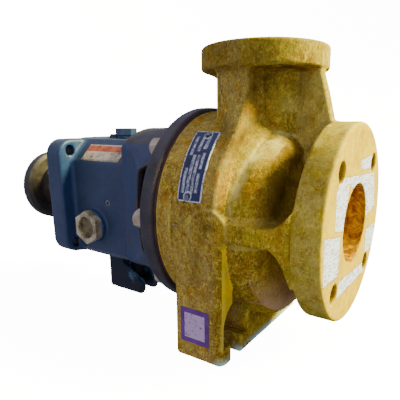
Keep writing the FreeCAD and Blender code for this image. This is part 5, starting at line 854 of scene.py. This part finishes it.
def nameplate():
    """Thin plate bent round the drum, with a raised border and plain raised bars."""
    across, along = 56, 96
    v = np.concatenate([np.linspace(0, 0.05, 10), np.linspace(0.05, 0.95, along - 18)[1:-1],
                        np.linspace(0.95, 1, 10)])
    wide, tall, corner = 28.0, 74.0, 3.0
    into = np.maximum(corner - np.minimum(v, 1 - v) * tall, 0)
    low = (corner - np.sqrt(np.maximum(corner ** 2 - into ** 2, 0))) / wide
    u = low[:, None] + (1 - 2 * low[:, None]) * np.linspace(0, 1, across)[None, :]
    v = np.broadcast_to(v[:, None], u.shape)
    (x0, a0), (x1, a1), (x2, a2), (x3, a3) = PLATE_CORNERS
    x = (1 - v) * ((1 - u) * x0 + u * x1) + v * ((1 - u) * x3 + u * x2)
    angle = (1 - v) * ((1 - u) * a0 + u * a1) + v * ((1 - u) * a3 + u * a2)
    rim = np.minimum(np.minimum(u - low[:, None], 1 - low[:, None] - u) * wide,
                     np.minimum(v, 1 - v) * tall)
    screw = np.minimum.reduce([np.hypot(x - sx, np.radians(angle - sa) * DRUM_R)
                               for sx, sa in PLATE_SCREWS])
    border = soft(np.maximum(rim - 0.9, 0), 0.35)
    border = np.maximum(border, soft(screw - 4.0, 0.55))
    bars = np.zeros(u.shape)
    for u0, u1, v0, v1 in PLATE_FIELDS:
        inside = np.minimum(np.minimum(u - u0, u1 - u) * wide, np.minimum(v - v0, v1 - v) * tall)
        bars = np.maximum(bars, np.clip(inside / 0.5 + 0.5, 0, 1))
    height = DRUM_R + 0.85 + 0.12 * border
    height = np.where(rim < 0.01, DRUM_R + 0.6, height)
    a = np.radians(angle)
    points = np.stack([x, -height * np.cos(a), SHAFT + height * np.sin(a)], -1).reshape(-1, 3)
    rows, cols = u.shape
    faces = [(r * cols + c, r * cols + c + 1, (r + 1) * cols + c + 1, (r + 1) * cols + c)
             for r in range(rows - 1) for c in range(cols - 1)]
    edge = [c for c in range(cols)] + [r * cols + cols - 1 for r in range(1, rows)]
    edge += [(rows - 1) * cols + c for c in range(cols - 2, -1, -1)]
    edge += [r * cols for r in range(rows - 2, 0, -1)]
    below = points[edge].copy()
    shrink = (DRUM_R - 0.3) / np.hypot(below[:, 1], below[:, 2] - SHAFT)
    below[:, 1] *= shrink
    below[:, 2] = SHAFT + (below[:, 2] - SHAFT) * shrink
    base, count = len(points), len(edge)
    faces += [(edge[i], base + i, base + (i + 1) % count, edge[(i + 1) % count]) for i in range(count)]
    obj = add_mesh("nameplate_plate", np.concatenate([points, below]), faces, "pump_body")
    pad = np.zeros(count)
    values = [np.concatenate([border.ravel(), pad + 1]), np.concatenate([bars.ravel(), pad])]
    keep_values(obj, "marks", values + [np.zeros(base + count)] * 2)
    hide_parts("nameplate")
    return obj


def nameplate_material():
    """Navy plate with rubbed pale border and bars."""
    p = Paint("nameplate_finish", 0.38, metallic=0.2)
    border, bars, _, _ = p.kept()
    colour = p.mix(p.ramp(p.noise(60, 4), [(0.35, 0.0), (0.65, 1.0)]), rgb("1d2547"), rgb("141a33"))
    worn = p.ramp(p.noise(420, 3, 0.7), [(0.36, 0.1), (0.5, 1.0)])
    lines = p.ramp(p.noise(900, 2, 0.5, 0, p.stretched((1, 0.2, 0.2))), [(0.42, 0.35), (0.55, 1.0)])
    colour = p.mix(p.math("MULTIPLY", p.math("MULTIPLY", bars, worn), lines), colour, rgb("b9b7b4"))
    colour = p.mix(p.math("MULTIPLY", border, worn), colour, rgb("d6d6d4"))
    p.bump(p.math("ADD", border, bars), 0.0002, 0.5)
    return p.done(colour, p.ramp(p.noise(200, 3), [(0.3, 0.3), (0.7, 0.5)]))


assign(nameplate_material(), nameplate())

def studio():
    """Pale floor that curves up into a far wall, seen by the camera alone."""
    rings = [(0.0, 0.0), (1.5, 0.0), (4.0, 0.0), (5.2, 0.25), (6.0, 1.0), (6.3, 2.5), (6.3, 6.0)]
    count = 48
    points = [(r * math.cos(2 * math.pi * k / count), r * math.sin(2 * math.pi * k / count), z)
              for r, z in rings[1:] for k in range(count)]
    faces = [tuple(range(count))]
    for ring in range(len(rings) - 2):
        a, b = ring * count, (ring + 1) * count
        faces += [(a + k, b + k, b + (k + 1) % count, a + (k + 1) % count) for k in range(count)]
    mesh = bpy.data.meshes.new("studio_floor")
    mesh.from_pydata(points, [], faces)
    mesh.polygons.foreach_set("use_smooth", [True] * len(faces))
    obj = bpy.data.objects.new("studio_floor", mesh)
    bpy.context.scene.collection.objects.link(obj)
    obj.visible_diffuse = False
    obj.visible_glossy = False
    obj.visible_shadow = False
    p = Paint("studio_pale", 0.9)
    p.shader.inputs["Emission Color"].default_value = (1, 1, 1, 1)
    p.shader.inputs["Emission Strength"].default_value = 14.0
    assign(p.done(p.ramp(p.noise(3, 2), [(0.3, 0.86), (0.7, 0.9)])), obj)


studio()

camera = bpy.data.cameras.new("camera")
camera.lens = 36.479
camera.sensor_width = 36.0
camera.shift_x = -0.0388
camera.shift_y = 0.0557
camera.clip_start = 0.01
viewer = bpy.data.objects.new("camera", camera)
viewer.location = (0.19742, -0.38854, 0.22792)
viewer.rotation_euler = (math.radians(90 - 13.898), math.radians(0.03), math.radians(33.446))
bpy.context.scene.collection.objects.link(viewer)
bpy.context.scene.camera = viewer

# Soft light all round, one broad key from the suction side and a weak fill from the near side
world = bpy.data.worlds.new("studio")
world.use_nodes = True
tree = world.node_tree
place = tree.nodes.new("ShaderNodeTexCoord")
split = tree.nodes.new("ShaderNodeSeparateXYZ")
sky = tree.nodes.new("ShaderNodeValToRGB")
height = tree.nodes.new("ShaderNodeMapRange")
height.inputs["From Min"].default_value = -1.0
tree.links.new(place.outputs["Generated"], split.inputs[0])
tree.links.new(split.outputs[2], height.inputs["Value"])
tree.links.new(height.outputs["Result"], sky.inputs["Fac"])
tree.links.new(sky.outputs["Color"], tree.nodes["Background"].inputs["Color"])
for element, (at, grey) in zip((sky.color_ramp.elements[0], sky.color_ramp.elements.new(0.42),
                                sky.color_ramp.elements.new(0.5), sky.color_ramp.elements[-1]),
                               ((0.0, 0.3), (0.42, 0.55), (0.5, 0.85), (1.0, 0.9))):
    element.position = at
    element.color = (grey * 0.92, grey * 0.97, grey * 1.45, 1)
tree.nodes["Background"].inputs["Strength"].default_value = 0.8
bpy.context.scene.world = world

key = bpy.data.lights.new("key", "SUN")
key.energy = 18.0
key.angle = math.radians(18)
key.color = (1.0, 0.95, 0.50)
lamp = bpy.data.objects.new("key", key)
lamp.rotation_euler = Vector((-0.70, -0.44, -0.56)).to_track_quat("-Z", "Y").to_euler()
bpy.context.scene.collection.objects.link(lamp)

fill = bpy.data.lights.new("fill", "AREA")
fill.shape = "DISK"
fill.size = 0.8
fill.energy = 1.4
fill.color = (1.0, 0.97, 1.0)
lamp = bpy.data.objects.new("fill", fill)
lamp.location = (0.35, -1.15, 0.12)
lamp.rotation_euler = Vector((-0.35, 1.1, 0.0)).to_track_quat("-Z", "Y").to_euler()
bpy.context.scene.collection.objects.link(lamp)


# Materials of the pieces that stay as the CAD has them
metals = {
    "cream_zinc": ("cream_plate", "c9b795", "8f7a54", 0.42, 0.35, 1.5, False),
    "plain_steel": ("dull_steel", "8e8e8a", "5b5952", 0.42, 0.9, 1.5, False),
    "ground_steel": ("ground_steel", "b9b9b8", "86857f", 0.25, 1.0, 1.0, True),
    "bearing_steel": ("polished_steel", "c9c9ca", "9a9a98", 0.15, 1.0, 1.0, True),
    "cage_brass": ("cage_brass", "b8923f", "7c5f22", 0.3, 1.0, 1.0, True),
    "worn_nickel": ("worn_nickel", "e2d0a2", "7d6a42", 0.42, 0.5, 2.0, False),
    "coupling_iron": ("coupling_iron", "4a4232", "2b261c", 0.45, 0.55, 1.0, True),
}
dulls = {
    "frp_inner": ("frp_inner", "8d7434", "6d5622", 0.5),
    "gasket_brown": ("gasket_brown", "5f3524", "3a2119", 0.8),
    "black_rubber": ("black_rubber", "1b1b1c", "121213", 0.6),
    "seal_ceramic": ("seal_ceramic", "e2ded2", "cfc9b8", 0.2),
    "seal_carbon": ("seal_carbon", "1e1f21", "151617", 0.55),
    "boss_plug_resin": ("boss_plug", "6e5422", "4c3814", 0.6),
    "reflector_cream": ("reflector", "b6ab7c", "948a5c", 0.5),
    "label_violet": ("label_violet", "4d2f78", "3c2560", 0.45),
    "label_cream": ("label_cream", "d8cbb0", "b9a888", 0.5),
    "nameplate_blue": ("nameplate_blue", "1d2647", "151c38", 0.4),
    "blue_paint": ("blue_parts", "1c3a58", "12263c", 0.42),
    "charcoal_paint": ("charcoal_parts", "23262c", "17191e", 0.5),
    "frp_casing": ("frp_parts", "947a3a", "76602c", 0.5),
}
finishes = {slot: metal(*values) for slot, values in metals.items()}
finishes.update({slot: dull(*values) for slot, values in dulls.items()})
glass = Paint("sight_glass", 0.08)
glass.shader.inputs["Transmission Weight"].default_value = 0.3
glass.shader.inputs["IOR"].default_value = 1.45
glass.bump(glass.noise(220, 2), 0.0001, 0.3)
tint = glass.ramp(glass.noise(90, 3), [(0.4, rgb("86753c")), (0.65, rgb("4e421c"))])
finishes["clear_glass"] = glass.done(tint)
for entry in frame["record"]["subparts"]:
    assign(finishes[entry["material_slot"]], nodes[entry["node"]])


def foot_label_material():
    """Plain lilac field in a violet border."""
    p = Paint("foot_label_finish", 0.45)
    axes = p.split(p.place)
    across = p.math("DIVIDE", p.math("ABSOLUTE", p.math("ADD", axes[0], 0.0155)), 0.0165)
    up = p.math("DIVIDE", p.math("ABSOLUTE", p.math("ADD", axes[2], -0.036)), 0.018)
    edge = p.math("MAXIMUM", across, up)
    colour = p.mix(p.ramp(p.noise(90, 4, 0.6), [(0.35, 0.0), (0.65, 1.0)]), rgb("70357f"), rgb("552664"))
    band = p.band(edge, -1.0, 0.72, 0.01)
    worn = p.ramp(p.noise(260, 4, 0.65), [(0.34, 0.15), (0.46, 1.0)])
    colour = p.mix(p.math("MULTIPLY", band, worn), colour, rgb("c4a3b4"))
    colour = p.mix(p.ramp(p.noise(180, 4, 0.7), [(0.60, 0.0), (0.72, 0.7)]), colour, rgb("7a5a2c"))
    p.bump(p.noise(300, 3), 0.00015, 0.5)
    return p.done(colour, p.ramp(p.noise(120, 3), [(0.3, 0.35), (0.7, 0.6)]))


def frame_label_material():
    """Blank cream label with a plain orange band along its upper edge."""
    p = Paint("frame_label_finish", 0.5)
    axes = p.split(p.place)
    colour = p.mix(p.ramp(p.noise(70, 4, 0.6), [(0.35, 0.0), (0.65, 1.0)]), rgb("cdbb98"), rgb("ab9568"))
    band = p.band(axes[2], 0.1925, 0.1990, 0.0002)
    orange = p.mix(p.ramp(p.noise(110, 4), [(0.35, 0.0), (0.65, 1.0)]), rgb("d0692a"), rgb("a8481a"))
    colour = p.mix(band, colour, orange)
    spots = p.ramp(p.noise(150, 5, 0.7), [(0.54, 0.0), (0.66, 0.85)])
    colour = p.mix(spots, colour, rgb("4b3a26"))
    lower = p.math("MULTIPLY", p.band(axes[2], 0.1812, 0.1835, 0.0003), p.noise(200, 3))
    colour = p.mix(lower, colour, rgb("2a1c10"))
    p.bump(p.noise(260, 3), 0.00015, 0.5)
    return p.done(colour, p.ramp(p.noise(120, 3), [(0.3, 0.4), (0.7, 0.65)]))


assign(foot_label_material(), nodes["foot_label"])
assign(frame_label_material(), nodes["frame_label"])


def soften(node, width, body):
    """Copy of a machined CAD piece with its sharp edges broken, standing for that node."""
    mesh = nodes[node].data.copy()
    mesh.name = node + "_softened"
    work = bmesh.new()
    work.from_mesh(mesh)
    bmesh.ops.remove_doubles(work, verts=work.verts, dist=1e-6)
    bmesh.ops.dissolve_limit(work, angle_limit=math.radians(1), verts=work.verts, edges=work.edges)
    sharp = [e for e in work.edges
             if len(e.link_faces) == 2 and e.calc_face_angle(0) > math.radians(28)]
    bmesh.ops.bevel(work, geom=sharp, offset=width, segments=2, profile=0.6, affect="EDGES",
                    clamp_overlap=True)
    for face in work.faces:
        face.smooth = True
    work.to_mesh(mesh)
    work.free()
    mesh.set_sharp_from_angle(angle=math.radians(18))
    obj = bpy.data.objects.new(node + "_softened", mesh)
    bpy.context.scene.collection.objects.link(obj)
    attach(obj, body)
    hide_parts(node)
    return obj


for node, width in (("casing_nuts", 0.0006), ("sight_glass_bezel", 0.0008), ("oil_fill_plug", 0.0007),
                    ("adapter_bolts", 0.0005), ("frame_foot_bolts", 0.0005)):
    soften(node, width, "pump_body")
